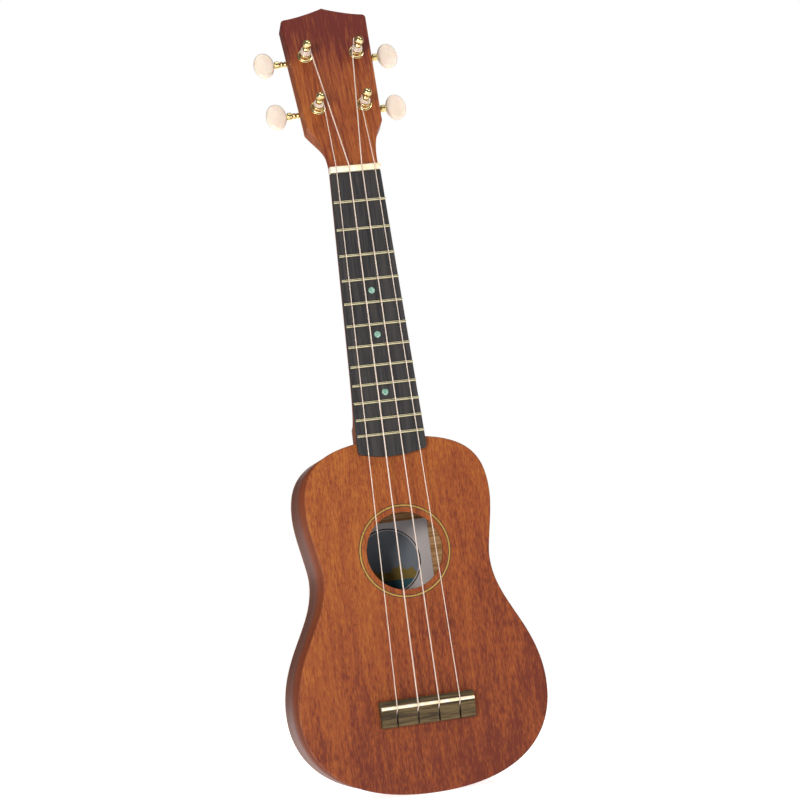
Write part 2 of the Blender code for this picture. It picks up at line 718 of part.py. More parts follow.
def add_tip(bm, loop):
    """The headstock's end grain, in strips from its face to its back that follow the peak."""
    round_end = 2 * ROUND_STEPS + 1
    front = [loop[0], *reversed(loop[round_end + 1 :]), loop[round_end]]
    first, last = SLAB_SIDE_STEPS, round_end - SLAB_SIDE_STEPS
    back = loop[first : ROUND_STEPS + 1] + loop[ROUND_STEPS + 2 : last + 1]
    for i in range(FLAT_STEPS):
        strip = [back[i], back[i + 1], front[i + 1], front[i]]
        if i == 0:
            strip += loop[1:first]
        if i == FLAT_STEPS - 1:
            strip[2:2] = loop[last + 1 : round_end]
        bm.faces.new(strip)


def make_neck(wood):
    """Heel, neck and headstock from one board, with the tenon and the tuners' holes."""
    bm = bmesh.new()
    loops = [[bm.verts.new(corner) for corner in ring] for ring in neck_rings()]
    bm.faces.new(loops[0])
    add_tip(bm, loops[-1])
    for a, b in zip(loops, loops[1:]):
        for i in range(len(a)):
            j = (i + 1) % len(a)
            bm.faces.new((a[i], a[j], b[j], b[i]))
    neck = piece("neck", bm, wood, smooth_under=radians(40))
    drills = bmesh.new()
    radius = BUSHING_SLEEVE_RADIUS + GLUE_GAP
    for name in STRING_NAMES:
        x, along = tuner_place(name)
        place = HEADSTOCK_TURN @ Matrix.Translation((x, along, -HEADSTOCK_THICKNESS / 2))
        bmesh.ops.create_cone(
            drills,
            cap_ends=True,
            segments=BUSHING_STEPS,
            radius1=radius,
            radius2=radius,
            depth=HEADSTOCK_THICKNESS + 2 * CUT_PAST,
            matrix=place,
        )
    boolean(neck, helper("tuner_holes_cutter", drills), "DIFFERENCE")
    grown = mirrored(inset(half_outline(), -GLUE_GAP))
    body = board(grown, -CUT_PAST, HEEL_DEPTH + CUT_PAST)
    boolean(neck, helper("body_joint_cutter", body), "DIFFERENCE")
    tenon = box(
        (-TENON_WIDTH / 2, INSIDE_FRONT_Y + GLUE_GAP, BODY_TOP_Z - TENON_LENGTH),
        (TENON_WIDTH / 2, INSIDE_FRONT_Y + TENON_DEPTH, BODY_TOP_Z + TENON_ROOT),
    )
    boolean(neck, helper("tenon_join", tenon), "UNION")


# Fretboard, frets, nut and dots


def fretboard_outline():
    """(x, z) round the board, its free end a shallow blunt curve with small corners."""
    corner_z = LAST_FRET_Z - FRETBOARD_PAST_LAST_FRET
    half = fretboard_half_at(corner_z)
    radius = FRETBOARD_CORNER_RADIUS
    side = [(FRETBOARD_NUT_WIDTH / 2, 0)]
    side += quarter(half - radius, corner_z + radius, radius, -1)
    inner = half - radius
    for step in range(1, FRETBOARD_END_STEPS):
        share = step / FRETBOARD_END_STEPS
        side.append((inner * (1 - share), corner_z - FRETBOARD_END_BULGE * (1 - (1 - share) ** 2)))
    return mirrored(side + [(0, corner_z - FRETBOARD_END_BULGE)])


def dot_z(space):
    return (fret_z(space - 1) + fret_z(space)) / 2


def make_fretboard(rosewood, pearl):
    fretboard = piece("fretboard", board(fretboard_outline(), -GLUE_GAP, FRETBOARD_TOP_Y), rosewood)
    slots = bmesh.new()
    slot_half = FRET_TANG_WIDTH / 2 + INLAY_GAP
    floor = FRETBOARD_TOP_Y + FRET_TANG_DEPTH + INLAY_GAP
    for number in range(1, FRET_COUNT + 1):
        z = fret_z(number)
        reach = fretboard_half_at(z) + CUT_PAST
        low = (-reach, FRETBOARD_TOP_Y - CUT_PAST, z - slot_half)
        add_box(slots, low, (reach, floor, z + slot_half))
    boolean(fretboard, helper("fret_slots_cutter", slots), "DIFFERENCE")
    for space in DOT_SPACES:
        pocket = [(0, -DOT_DEPTH - INLAY_GAP), (DOT_RADIUS + INLAY_GAP, -DOT_DEPTH - INLAY_GAP)]
        pocket += [(DOT_RADIUS + INLAY_GAP, CUT_PAST), (0, CUT_PAST)]
        cutter = facing_front(turned(pocket, DOT_STEPS), dot_z(space))
        moved(cutter, (0, FRETBOARD_TOP_Y, 0))
        boolean(fretboard, helper(f"dot_{space}_cutter", cutter), "DIFFERENCE")
        disc = [(0, -DOT_DEPTH), (DOT_RADIUS, -DOT_DEPTH), (DOT_RADIUS, 0), (0, 0)]
        dot = moved(facing_front(turned(disc, DOT_STEPS), dot_z(space)), (0, FRETBOARD_TOP_Y, 0))
        piece(f"position_dot_{space}", dot, pearl)


def make_frets(metal):
    """Wire with a half-round crown on top of the board and a thin tang in its slot."""
    half, tang = FRET_CROWN_WIDTH / 2, FRET_TANG_WIDTH / 2
    seat = FRETBOARD_TOP_Y - INLAY_GAP
    rise = FRET_CROWN_HEIGHT - INLAY_GAP
    for number in range(1, FRET_COUNT + 1):
        z = fret_z(number)
        section = [(tang, FRETBOARD_TOP_Y + FRET_TANG_DEPTH), (tang, seat)]
        for step in range(FRET_CROWN_STEPS + 1):
            turn = step / FRET_CROWN_STEPS * pi
            section.append((half * cos(turn), seat - rise * sin(turn)))
        section += [(-tang, seat), (-tang, FRETBOARD_TOP_Y + FRET_TANG_DEPTH)]
        reach = fretboard_half_at(z)
        wire = prism([(-reach, y, z + offset) for offset, y in section], (2 * reach, 0, 0))
        piece(f"fret_{number:02d}", wire, metal)


def string_x(index, span):
    return span * (index / (len(STRING_NAMES) - 1) - 0.5)


def string_y(index, z):
    """A string's centre between the nut and the saddle: frets, action and the string's radius."""
    at_nut = FRET_TOP_Y - FIRST_FRET_ACTION
    at_twelfth = FRET_TOP_Y - TWELFTH_FRET_ACTION
    return at_nut + (at_twelfth - at_nut) * z / LAST_FRET_Z - STRING_RADII[index]


def make_nut(bone):
    half = FRETBOARD_NUT_WIDTH / 2 + NUT_OVERHANG
    floor = [string_y(i, 0) + STRING_RADII[i] + RUNNING_GAP for i in range(len(STRING_NAMES))]
    top = min(floor) - NUT_SLOT_DEPTH
    low, high = GLUE_GAP, NUT_LENGTH
    drop, back = NUT_CROWN
    corners = [(-GLUE_GAP, low), (top, low), (top + drop, high - back)]
    corners += [(top + NUT_BACK_DROP, high), (-GLUE_GAP, high)]
    nut = piece("nut", prism([(-half, y, z) for y, z in corners], (2 * half, 0, 0)), bone)
    slots = bmesh.new()
    for i, radius in enumerate(STRING_RADII):
        x = string_x(i, NUT_STRING_SPAN)
        reach = radius + RUNNING_GAP
        low_corner = (x - reach, top - CUT_PAST, low - CUT_PAST)
        add_box(slots, low_corner, (x + reach, floor[i], high + CUT_PAST))
    boolean(nut, helper("nut_slots_cutter", slots), "DIFFERENCE")


# Bridge and saddle


def saddle_top():
    """The saddle's crest, just under the thickest string."""
    tops = [string_y(i, SADDLE_Z) + STRING_RADII[i] for i in range(len(STRING_NAMES))]
    return max(tops) + RUNNING_GAP


def make_bridge(rosewood, bone):
    corners = [
        (-GLUE_GAP, BRIDGE_FRONT_Z),
        (BRIDGE_TOP_Y + BRIDGE_CHAMFER, BRIDGE_FRONT_Z),
        (BRIDGE_TOP_Y, BRIDGE_FRONT_Z - BRIDGE_CHAMFER),
        (BRIDGE_TOP_Y, KNEE_Z),
        (-GLUE_GAP - BRIDGE_REAR_HEIGHT, BRIDGE_REAR_Z),
        (-GLUE_GAP, BRIDGE_REAR_Z),
    ]
    block = prism([(-BRIDGE_WIDTH / 2, y, z) for y, z in corners], (BRIDGE_WIDTH, 0, 0))
    bridge = piece("bridge", block, rosewood)

    cuts = bmesh.new()
    half, length = SADDLE_THICKNESS / 2 + INLAY_GAP, SADDLE_LENGTH / 2 + INLAY_GAP
    add_box(
        cuts,
        (-length, BRIDGE_TOP_Y - CUT_PAST, SADDLE_Z - half),
        (length, BRIDGE_TOP_Y + SADDLE_SEAT_DEPTH + INLAY_GAP, SADDLE_Z + half),
    )
    for i in range(len(STRING_NAMES)):
        x = string_x(i, SADDLE_STRING_SPAN)
        add_box(
            cuts,
            (x - TIE_SLOT_WIDTH / 2, BRIDGE_TOP_Y - CUT_PAST, BRIDGE_REAR_Z - CUT_PAST),
            (x + TIE_SLOT_WIDTH / 2, -GLUE_GAP - TIE_SLOT_FLOOR, KNEE_Z),
        )
    boolean(bridge, helper("bridge_cuts", cuts), "DIFFERENCE")

    thick = SADDLE_THICKNESS / 2
    top, foot = saddle_top(), BRIDGE_TOP_Y + SADDLE_SEAT_DEPTH
    shoulder = (top + (1 - SADDLE_SHOULDER) * thick, SADDLE_SHOULDER * thick)
    section = [(foot, thick), (top + thick, thick), shoulder, (top, 0)]
    section += [(y, -z) for y, z in reversed(section[:3])]
    bar = prism([(-SADDLE_LENGTH / 2, y, SADDLE_Z + z) for y, z in section], (SADDLE_LENGTH, 0, 0))
    piece("saddle", bar, bone)


# Strings


def wrap_radius(index):
    return POST_WAIST_RADIUS + 3 * RUNNING_GAP + STRING_RADII[index]


def post_tangent(index):
    """Where a string leaves its post, as (x, along, turn), and which way round it winds."""
    name = STRING_NAMES[index]
    x, along = tuner_place(name)
    side = TUNERS[name][0]
    to_nut = Vector((string_x(index, NUT_STRING_SPAN) - x, -along))
    radius = wrap_radius(index)
    turn = atan2(to_nut.y, to_nut.x) - side * acos(radius / to_nut.length)
    return x, along, turn, side


def string_route(index):
    """Wraps on the post, over the nut and the saddle, down into the bridge's slot."""
    x, along, turn, side = post_tangent(index)
    radius = wrap_radius(index)
    pitch = 2 * STRING_RADII[index] + RUNNING_GAP
    points = []
    steps = STRING_WRAP_TURNS * STRING_WRAP_STEPS
    for step in range(steps + 1):
        left = (steps - step) / STRING_WRAP_STEPS
        angle = turn - side * left * 2 * pi
        local = (
            x + radius * cos(angle),
            along + radius * sin(angle),
            STRING_WRAP_HEIGHT + pitch * left,
        )
        points.append(HEADSTOCK_TURN @ Vector(local))
    nut_x = string_x(index, NUT_STRING_SPAN)
    points.append(Vector((nut_x, string_y(index, 0), NUT_LENGTH)))
    points.append(Vector((nut_x, string_y(index, 0), 0)))

    end_x = string_x(index, SADDLE_STRING_SPAN)
    crest = Vector((end_x, string_y(index, SADDLE_Z), SADDLE_Z))
    points.append(crest + Vector((0, 0, SADDLE_THICKNESS / 2)))
    points.append(crest - Vector((0, -2 * RUNNING_GAP, SADDLE_THICKNESS / 2)))
    clear = STRING_RADII[index] + RUNNING_GAP
    points.append(Vector((end_x, BRIDGE_TOP_Y - clear - 2 * RUNNING_GAP, KNEE_Z - clear / 2)))
    end_y = -GLUE_GAP - TIE_SLOT_FLOOR - clear - STRING_END_LIFT
    points.append(Vector((end_x, end_y, BRIDGE_REAR_Z + STRING_END_FROM_REAR)))
    return points


def make_strings(nylon):
    for index, name in enumerate(STRING_NAMES):
        curve = bpy.data.curves.new(f"string_{name}", "CURVE")
        curve.dimensions = "3D"
        curve.bevel_depth = STRING_RADII[index]
        curve.bevel_resolution = 2
        curve.use_fill_caps = True
        route = string_route(index)
        spline = curve.splines.new("POLY")
        spline.points.add(len(route) - 1)
        for point, place in zip(spline.points, route):
            point.co = (*place, 1)
        curve.materials.append(nylon)
        string = bpy.data.objects.new(f"string_{name}", curve)
        bpy.context.scene.collection.objects.link(string)


# Tuning machines. Inside one, +X is the treble side, +Y runs up the headstock, and +Z comes out
# of its face, with the origin where the post's axis meets the face.


def make_post(name, parent, metal):
    """The string post and the gear pressed on its foot, which turn together."""
    gear_back = GEAR_LEVEL - GEAR_THICKNESS / 2
    gear_front = GEAR_LEVEL + GEAR_THICKNESS / 2
    waist, ball = POST_WAIST_RADIUS, POST_BALL_RADIUS
    grip = BUSHING_HEIGHT + POST_COLLAR_LENGTH
    wrap_top = POST_BALL_HEIGHT - ball - POST_THROAT_LENGTH
    profile = [
        (0, gear_back - POST_FOOT_LENGTH),
        (POST_RADIUS, gear_back - POST_FOOT_LENGTH),
        (POST_RADIUS, grip),
        (waist, grip + POST_TAPER_LENGTH),
        (waist, wrap_top - POST_TAPER_LENGTH),
        (POST_RADIUS, wrap_top),
        (POST_RADIUS, wrap_top + POST_COLLAR_LENGTH),
        (POST_THROAT_RADIUS, wrap_top + 2 * POST_COLLAR_LENGTH),
    ]
    for turn in map(radians, POST_BALL_DEGREES):
        profile.append((ball * cos(turn), POST_BALL_HEIGHT + ball * sin(turn)))
    profile.append((0, POST_BALL_HEIGHT + ball))
    shape = turned(profile, POST_STEPS)
    post = piece(f"tuner_{name}_post", shape, metal, parent, radians(50))

    root, tip = GEAR_RADIUS - TOOTH_DROP, GEAR_RADIUS + TOOTH_RISE
    outline = []
    for tooth in range(GEAR_TEETH):
        middle = pi / 2 + 2 * pi * tooth / GEAR_TEETH
        pitch = 2 * pi / GEAR_TEETH
        corners = ((root, -TOOTH_ROOT_SHARE), (tip, -TOOTH_TIP_SHARE))
        corners += ((tip, TOOTH_TIP_SHARE), (root, TOOTH_ROOT_SHARE))
        for radius, share in corners:
            turn = middle + share * pitch
            outline.append((radius * cos(turn), radius * sin(turn), gear_back))
    gear = helper(f"tuner_{name}_gear_join", prism(outline, (0, 0, gear_front - gear_back)), parent)
    boolean(post, gear, "UNION")


def make_bushing(name, parent, metal):
    """A press-fit ferrule: a sleeve in the headstock under a flared collar."""
    bore = POST_RADIUS + RUNNING_GAP
    seat = GLUE_GAP
    round_in, round_up = BUSHING_FLANGE_ROUND
    lip_in, lip_down = BUSHING_LIP
    shoulder = seat + BUSHING_FLANGE_HEIGHT
    profile = [
        (bore, -BUSHING_SLEEVE_DEPTH),
        (BUSHING_SLEEVE_RADIUS, -BUSHING_SLEEVE_DEPTH),
        (BUSHING_SLEEVE_RADIUS, seat),
        (BUSHING_FLANGE_RADIUS, seat),
        (BUSHING_FLANGE_RADIUS, shoulder),
        (BUSHING_FLANGE_RADIUS - round_in, shoulder + round_up),
        (BUSHING_NECK_RADIUS + lip_in, BUSHING_HEIGHT - lip_down),
        (BUSHING_NECK_RADIUS, BUSHING_HEIGHT),
        (bore, BUSHING_HEIGHT),
    ]
    shape = turned(profile, BUSHING_STEPS)
    piece(f"tuner_{name}_bushing", shape, metal, parent, radians(40))


def make_plate(name, parent, metal):
    """The base plate on the back of the headstock, with two lugs that carry the worm shaft."""
    half = PLATE_WIDTH / 2
    front, back = PLATE_BACK + PLATE_THICKNESS, PLATE_BACK
    low, high = -PLATE_TAIL, WORM_OFFSET + PLATE_NOSE
    corner = PLATE_WIDTH / 4
    outline = [(half, low + corner), (half, high - corner), (half - corner, high)]
    outline += [(corner - half, high), (-half, high - corner), (-half, low + corner)]
    outline += [(corner - half, low), (half - corner, low)]
    plate = piece(
        f"tuner_{name}_plate",
        prism([(x, y, front) for x, y in outline], (0, 0, back - front)),
        metal,
        parent,
    )
    lugs = bmesh.new()
    end = GEAR_LEVEL - LUG_LENGTH / 2
    for inner in (-half, half - LUG_THICKNESS):
        low_corner = (inner, WORM_OFFSET - LUG_LENGTH / 2, end)
        high_corner = (inner + LUG_THICKNESS, WORM_OFFSET + LUG_LENGTH / 2, front - LUG_ROOT)
        add_box(lugs, low_corner, high_corner)
    boolean(plate, helper(f"tuner_{name}_lugs_join", lugs, parent), "UNION")
    drill = rod(SHAFT_RADIUS + RUNNING_GAP, -half - CUT_PAST, half + CUT_PAST, "X")
    moved(drill, (0, WORM_OFFSET, GEAR_LEVEL))
    boolean(plate, helper(f"tuner_{name}_shaft_hole_cutter", drill, parent), "DIFFERENCE")
    drill = rod(POST_RADIUS + 3 * RUNNING_GAP, back - CUT_PAST, front + CUT_PAST)
    boolean(plate, helper(f"tuner_{name}_post_hole_cutter", drill, parent), "DIFFERENCE")


def worm_thread(half_length):
    """A single-start right-hand thread about +X, with a groove facing the gear at its middle."""
    root, tip = WORM_PITCH_RADIUS - TOOTH_DROP, WORM_PITCH_RADIUS + TOOTH_RISE
    gear_side = -pi / 2
    count = round(2 * half_length / WORM_PITCH * WORM_STEPS_PER_PITCH)
    bm = bmesh.new()
    rings = []
    for i in range(count + 1):
        x = half_length * (2 * i / count - 1)
        ring = []
        for j in range(WORM_STEPS_ROUND):
            turn = 2 * pi * j / WORM_STEPS_ROUND
            phase = (x / WORM_PITCH - (turn - gear_side) / (2 * pi)) % 1
            from_crest = abs(phase - 0.5)
            rise = min(max((THREAD_ROOT_SHARE - from_crest) / THREAD_FLANK_SHARE, 0), 1)
            if i in (0, count):
                rise = 0
            radius = root + (tip - root) * rise
            ring.append(bm.verts.new((x, radius * cos(turn), radius * sin(turn))))
        rings.append(ring)
    bm.faces.new(rings[0])
    bm.faces.new(rings[-1])
    for a, b in zip(rings, rings[1:]):
        for i in range(WORM_STEPS_ROUND):
            j = (i + 1) % WORM_STEPS_ROUND
            bm.faces.new((a[i], a[j], b[j], b[i]))
    return bm


def make_shaft(name, parent, side, edge, metal):
    """The worm on its shaft, with the collar and the beads that show beside the headstock.

    The parent is on the shaft's axis, and edge is how far out the headstock's edge is.
    """
    worm_half = WORM_LENGTH / 2
    button_start = edge + BUTTON_OUT_OF_EDGE - BUTTON_WIDTH / 2
    end = button_start + BUTTON_SOCKET_DEPTH
    first = edge + BEAD_OUT_OF_EDGE
    second = first + BEAD_SPACING
    shaft, core, tail = SHAFT_RADIUS, SHAFT_CORE_RADIUS, -PLATE_WIDTH / 2 - SHAFT_TAIL
    profile = [
        (0, tail),
        (shaft, tail),
        (shaft, -worm_half + RUNNING_GAP),
        (core, -worm_half / 2),
        (core, worm_half / 2),
        (shaft, worm_half - RUNNING_GAP),
    ]
    for bead in (first, second):
        profile.append((shaft, bead - BEAD_HALF_LENGTH - RUNNING_GAP))
        for turn in map(radians, BEAD_DEGREES):
            swell = (BEAD_RADIUS - shaft) * sin(turn)
            profile.append((shaft + swell, bead + BEAD_HALF_LENGTH * cos(turn)))
    collar = second + BEAD_HALF_LENGTH + RUNNING_GAP
    profile += [
        (shaft, collar),
        (COLLAR_RADIUS - COLLAR_BEVEL, collar + COLLAR_BEVEL),
        (COLLAR_RADIUS, collar + 2 * COLLAR_BEVEL),
        (COLLAR_RADIUS, button_start - RUNNING_GAP),
        (shaft, button_start - RUNNING_GAP),
        (shaft, end),
        (0, end),
    ]
    bm = turned(profile, SHAFT_STEPS, "X")
    if side < 0:
        bmesh.ops.scale(bm, verts=bm.verts, vec=(-1, 1, 1))
    made = piece(f"tuner_{name}_shaft", bm, metal, parent, radians(40))
    worm = helper(f"tuner_{name}_worm_join", worm_thread(worm_half), parent)
    boolean(made, worm, "UNION")


def make_button(name, parent, side, edge, plastic):
    """An oval button, flat on both faces, with a socket that is pressed on the shaft."""
    half, tall, thick = BUTTON_WIDTH / 2, BUTTON_HEIGHT / 2, BUTTON_THICKNESS / 2
    middle = side * (edge + BUTTON_OUT_OF_EDGE)
    face, (edge_radius, edge_rise) = BUTTON_FACE_SHARE, BUTTON_EDGE_SHARES
    profile = [(0, -thick), (face, -thick), (edge_radius, -edge_rise * thick), (1, 0)]
    profile += [(edge_radius, edge_rise * thick), (face, thick), (0, thick)]
    bm = turned(profile, BUTTON_STEPS)
    bmesh.ops.scale(bm, verts=bm.verts, vec=(half, tall, 1))
    button = piece(f"tuner_{name}_button", moved(bm, (middle, 0, 0)), plastic, parent, radians(40))
    inner = middle - side * (half - BUTTON_SOCKET_DEPTH - GLUE_GAP)
    outer = middle - side * (half + CUT_PAST)
    drill = rod(SHAFT_RADIUS + INLAY_GAP, *sorted((inner, outer)), "X")
    boolean(button, helper(f"tuner_{name}_socket_cutter", drill, parent), "DIFFERENCE")


def anchor(name, parent, location=(0, 0, 0), rotation=(0, 0, 0)):
    made = bpy.data.objects.new(name, None)
    made.parent = parent
    made.location = location
    made.rotation_euler = rotation
    bpy.context.scene.collection.objects.link(made)
    return made


def make_tuners(metal, plastic):
    face = anchor("headstock_face", None, HEADSTOCK_ROOT, (pi / 2 - HEADSTOCK_TILT, 0, 0))
    for name, (side, _) in TUNERS.items():
        x, along = tuner_place(name)
        post_axis = anchor(f"tuner_{name}_post_axis", face, (x, along, 0))
        shaft_axis = anchor(f"tuner_{name}_shaft_axis", post_axis, (0, WORM_OFFSET, GEAR_LEVEL))
        edge = headstock_half_at(along + WORM_OFFSET) - abs(x)
        make_plate(name, post_axis, metal)
        make_bushing(name, post_axis, metal)
        make_post(name, post_axis, metal)
        make_shaft(name, shaft_axis, side, edge, metal)
        make_button(name, shaft_axis, side, edge, plastic)


def main():
    for old in list(bpy.data.objects):
        bpy.data.objects.remove(old, do_unlink=True)

    mahogany = material("mahogany", "#9A5224", 0.4)
    spruce = material("spruce", "#C79B62", 0.7)
    rosewood = material("rosewood", "#4A3B2C", 0.55)
    dark_rosewood = material("dark_rosewood", "#2E2522", 0.5)
    bone = material("bone", "#EDE3B4", 0.35)
    pearl = material("abalone", "#4F7D6E", 0.25)
    inlay = material("rosette_inlay", "#B08A3E", 0.4)
    nickel = material("fret_wire", "#B8AE8C", 0.3, 1.0)
    gold = material("gold_plate", "#D9B45C", 0.2, 1.0)
    cream = material("cream_plastic", "#EAD9CB", 0.35)
    nylon = material("nylon", "#E6D6CC", 0.3)
    paper = material("paper", "#B9B7BD", 0.8)

    make_soundboard(mahogany, inlay)
    make_sides(mahogany)
    make_back(mahogany)
    make_blocks(spruce)
    make_linings(spruce)
    make_inside(spruce, rosewood, paper)
    make_neck(mahogany)
    make_fretboard(dark_rosewood, pearl)
    make_frets(nickel)
    make_nut(bone)
    make_bridge(rosewood, bone)
    make_strings(nylon)
    make_tuners(gold, cream)


main()
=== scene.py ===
"""Looks of a soprano ukulele, modelled around its fixed frame of solid parts.

Frame, in metres: +Z runs up the neck towards the headstock, -Y comes out of the soundboard, and
+X is the treble side. The origin is on the centreline, where the fretboard meets the nut.
"""

import json
from math import acos, atan2, cos, pi, radians, sin

import bmesh
import bpy
from bpy.props import FloatProperty, FloatVectorProperty, IntProperty, PointerProperty
from bpy.types import Operator, Panel, PropertyGroup
from mathutils import Matrix, Vector
from mathutils.geometry import interpolate_bezier


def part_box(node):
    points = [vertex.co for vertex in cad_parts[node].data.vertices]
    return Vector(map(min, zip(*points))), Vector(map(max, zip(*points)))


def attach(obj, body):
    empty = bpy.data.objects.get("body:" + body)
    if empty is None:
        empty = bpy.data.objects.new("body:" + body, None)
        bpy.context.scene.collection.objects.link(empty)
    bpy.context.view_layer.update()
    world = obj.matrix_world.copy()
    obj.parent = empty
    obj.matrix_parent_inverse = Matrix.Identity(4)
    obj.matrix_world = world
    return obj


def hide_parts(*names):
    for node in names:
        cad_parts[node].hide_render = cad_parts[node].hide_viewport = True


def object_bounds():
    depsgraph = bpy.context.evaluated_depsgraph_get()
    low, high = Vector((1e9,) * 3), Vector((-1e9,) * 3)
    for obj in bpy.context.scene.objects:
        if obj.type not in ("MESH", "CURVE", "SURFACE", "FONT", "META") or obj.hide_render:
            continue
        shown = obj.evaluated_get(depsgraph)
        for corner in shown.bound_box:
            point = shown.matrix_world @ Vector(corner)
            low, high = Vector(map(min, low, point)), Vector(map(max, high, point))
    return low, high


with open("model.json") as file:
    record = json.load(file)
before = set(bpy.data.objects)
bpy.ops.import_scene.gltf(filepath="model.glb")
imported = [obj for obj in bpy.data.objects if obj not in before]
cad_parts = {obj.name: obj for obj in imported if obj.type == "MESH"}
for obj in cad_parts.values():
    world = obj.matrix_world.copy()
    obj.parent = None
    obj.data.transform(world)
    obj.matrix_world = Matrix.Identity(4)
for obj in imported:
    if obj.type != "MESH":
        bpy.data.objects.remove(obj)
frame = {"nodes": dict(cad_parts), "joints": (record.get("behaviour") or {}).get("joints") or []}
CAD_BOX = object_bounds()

bl_info = {
    "name": "Soprano ukulele",
    "version": (1, 0, 0),
    "blender": (4, 5, 0),
    "location": "3D View > Sidebar > Ukulele",
    "description": "Builds a soprano ukulele's wood, metal and strings around its frame",
    "category": "Add Mesh",
}

MM = 0.001
CLOSE = 0.01 * MM
STRINGS = ("g", "c", "e", "a")
JOINTS = {joint["name"]: joint for joint in frame["joints"]}


# Sizes and colours that a maker would change


def length(name, description, millimetres):
    return FloatProperty(
        name=name,
        description=description,
        default=millimetres * MM,
        precision=5,
        unit="LENGTH",
        subtype="DISTANCE",
    )


def linear(colour):
    """An sRGB hex colour as linear red, green, blue and alpha."""
    channels = [int(colour[i : i + 2], 16) / 255 for i in (1, 3, 5)]
    return (*[c / 12.92 if c <= 0.04045 else ((c + 0.055) / 1.055) ** 2.4 for c in channels], 1)


def colour(name, description, tone):
    return FloatVectorProperty(
        name=name,
        description=description,
        default=linear(tone),
        size=4,
        min=0,
        max=1,
        subtype="COLOR",
    )


class UkuleleBody(PropertyGroup):
    """The soundbox: half its outline as curves with handles, and the edges' rounding."""

    top_reach: length("Top reach", "Handle of the curve that leaves the neck joint", 51.4)
    upper_half: length("Upper bout", "Half width of the upper bout", 61.8)
    upper_drop: length("Upper drop", "From the body's top to the upper bout", 42.6)
    upper_above: length("Upper handle above", "Handle above the upper bout", 26.2)
    upper_below: length("Upper handle below", "Handle below the upper bout", 13.1)
    waist_half: length("Waist", "Half width of the waist", 55.8)
    waist_drop: length("Waist drop", "From the body's top to the waist", 85.4)
    waist_above: length("Waist handle above", "Handle above the waist", 9.5)
    waist_below: length("Waist handle below", "Handle below the waist", 30.5)
    lower_half: length("Lower bout", "Half width of the lower bout", 82.5)
    lower_rise: length("Lower rise", "From the body's bottom to the lower bout", 59.3)
    lower_above: length("Lower handle above", "Handle above the lower bout", 39.9)
    lower_below: length("Lower handle below", "Handle below the lower bout", 23.6)
    bottom_reach: length("Bottom reach", "Handle of the curve at the tail seam", 68.4)
    edge_round: length("Edge rounding", "Radius of the soundboard's and back's outer edges", 1.1)
    hole_round: length("Hole rounding", "Radius of the sound hole's front edge", 0.3)
    hole_radius: length("Sound hole", "Radius of the sound hole", 25.3)
    side_thickness: length("Side thickness", "Thickness of the bent sides", 1.6)
    rosette_width: length("Rosette", "Width of the rosette", 2)
    line_width: length("Rosette line", "Width of each black line beside the gold one", 0.5)
    steps: IntProperty(name="Steps", description="Steps along each curve", default=30, min=4)


class UkuleleNeck(PropertyGroup):
    """The heel, neck and headstock, as cross-sections along them."""

    depth_at_nut: length("Depth at nut", "Neck's depth under the nut", 13)
    depth_at_heel: length("Depth at heel", "Neck's depth above the heel", 15)
    heel_short: length("Heel short", "From the heel's cap to the back", 7)
    heel_cap_length: length("Heel cap", "Length of the heel's cap", 10)
    heel_cap_half: length("Heel cap half", "Half width of the heel's flat cap", 8)
    heel_curve: length("Heel curve", "Length of the heel's curve into the neck", 34)
    nut_length: length("Nut length", "From the fretboard to the headstock's face", 4.5)
    tilt: FloatProperty(
        name="Tilt",
        description="Headstock's lean back",
        default=radians(18),
        unit="ROTATION",
        subtype="ANGLE",
    )
    head_thickness: length("Headstock", "Thickness of the headstock", 14)
    square_from: length("Square from", "From the nut to where the round back ends", 7)
    square_run: length("Square run", "Length over which the back turns flat", 25)
    head_round: length("Headstock rounding", "Radius along the headstock's edges", 0.9)
    neck_round: length("Neck rounding", "Radius along the edges under the fretboard", 0.4)
    shoulder_half: length("Shoulder", "Half width at the headstock's shoulders", 25.4)
    shoulder_along: length("Shoulder place", "From the nut to the shoulders", 33)
    shoulder_reach: length("Throat reach", "Handle of the throat's curve at the nut", 17)
    shoulder_back: length("Shoulder handle in", "Inward part of the shoulder's handle", 4.6)
    shoulder_down: length("Shoulder handle down", "Downward part of the handle", 7)
    corner_half: length("Corner", "Half width at the headstock's top corners", 29.6)
    corner_along: length("Corner place", "From the nut to the top corners", 119)
    corner_radius: length("Corner rounding", "Radius of the top corners", 2.2)
    peak_rise: length("Peak", "Rise of the peak above the corners", 7.2)
    board_at_nut: length("Board at nut", "Fretboard's width at the nut", 33.6)
    board_at_body: length("Board at body", "Fretboard's width at the last fret", 44.8)
    board_past_fret: length("Board end", "Fretboard's length past the last fret", 12)
    board_bulge: length("Board bulge", "Bulge of the fretboard's end", 2.8)
    board_corner: length("Board corner", "Radius of the fretboard's end corners", 2)
    board_round: length("Board rounding", "Radius along the fretboard's top edges", 0.35)
    fret_round: length("Fret end", "Rounding of each fret's filed ends", 0.5)


class UkuleleBridge(PropertyGroup):
    """The bridge: a block that falls away behind its knee, where four slots hold the strings."""

    chamfer: length("Chamfer", "Front edge's chamfer", 1.2)
    rear_height: length("Rear height", "Height of the bridge's rear edge", 5.4)
    edge_round: length("Edge rounding", "Radius along the bridge's edges", 0.25)
    slot_width: length("Slot width", "Width of a tie slot", 1.1)
    knee_run: length("Knee", "From the rear edge to the knee", 7)
    slot_gap: length("Slot gap", "Wood between the saddle and where a slot starts", 0.9)
    slot_floor: length("Slot floor", "Wood left under a tie slot", 1.6)


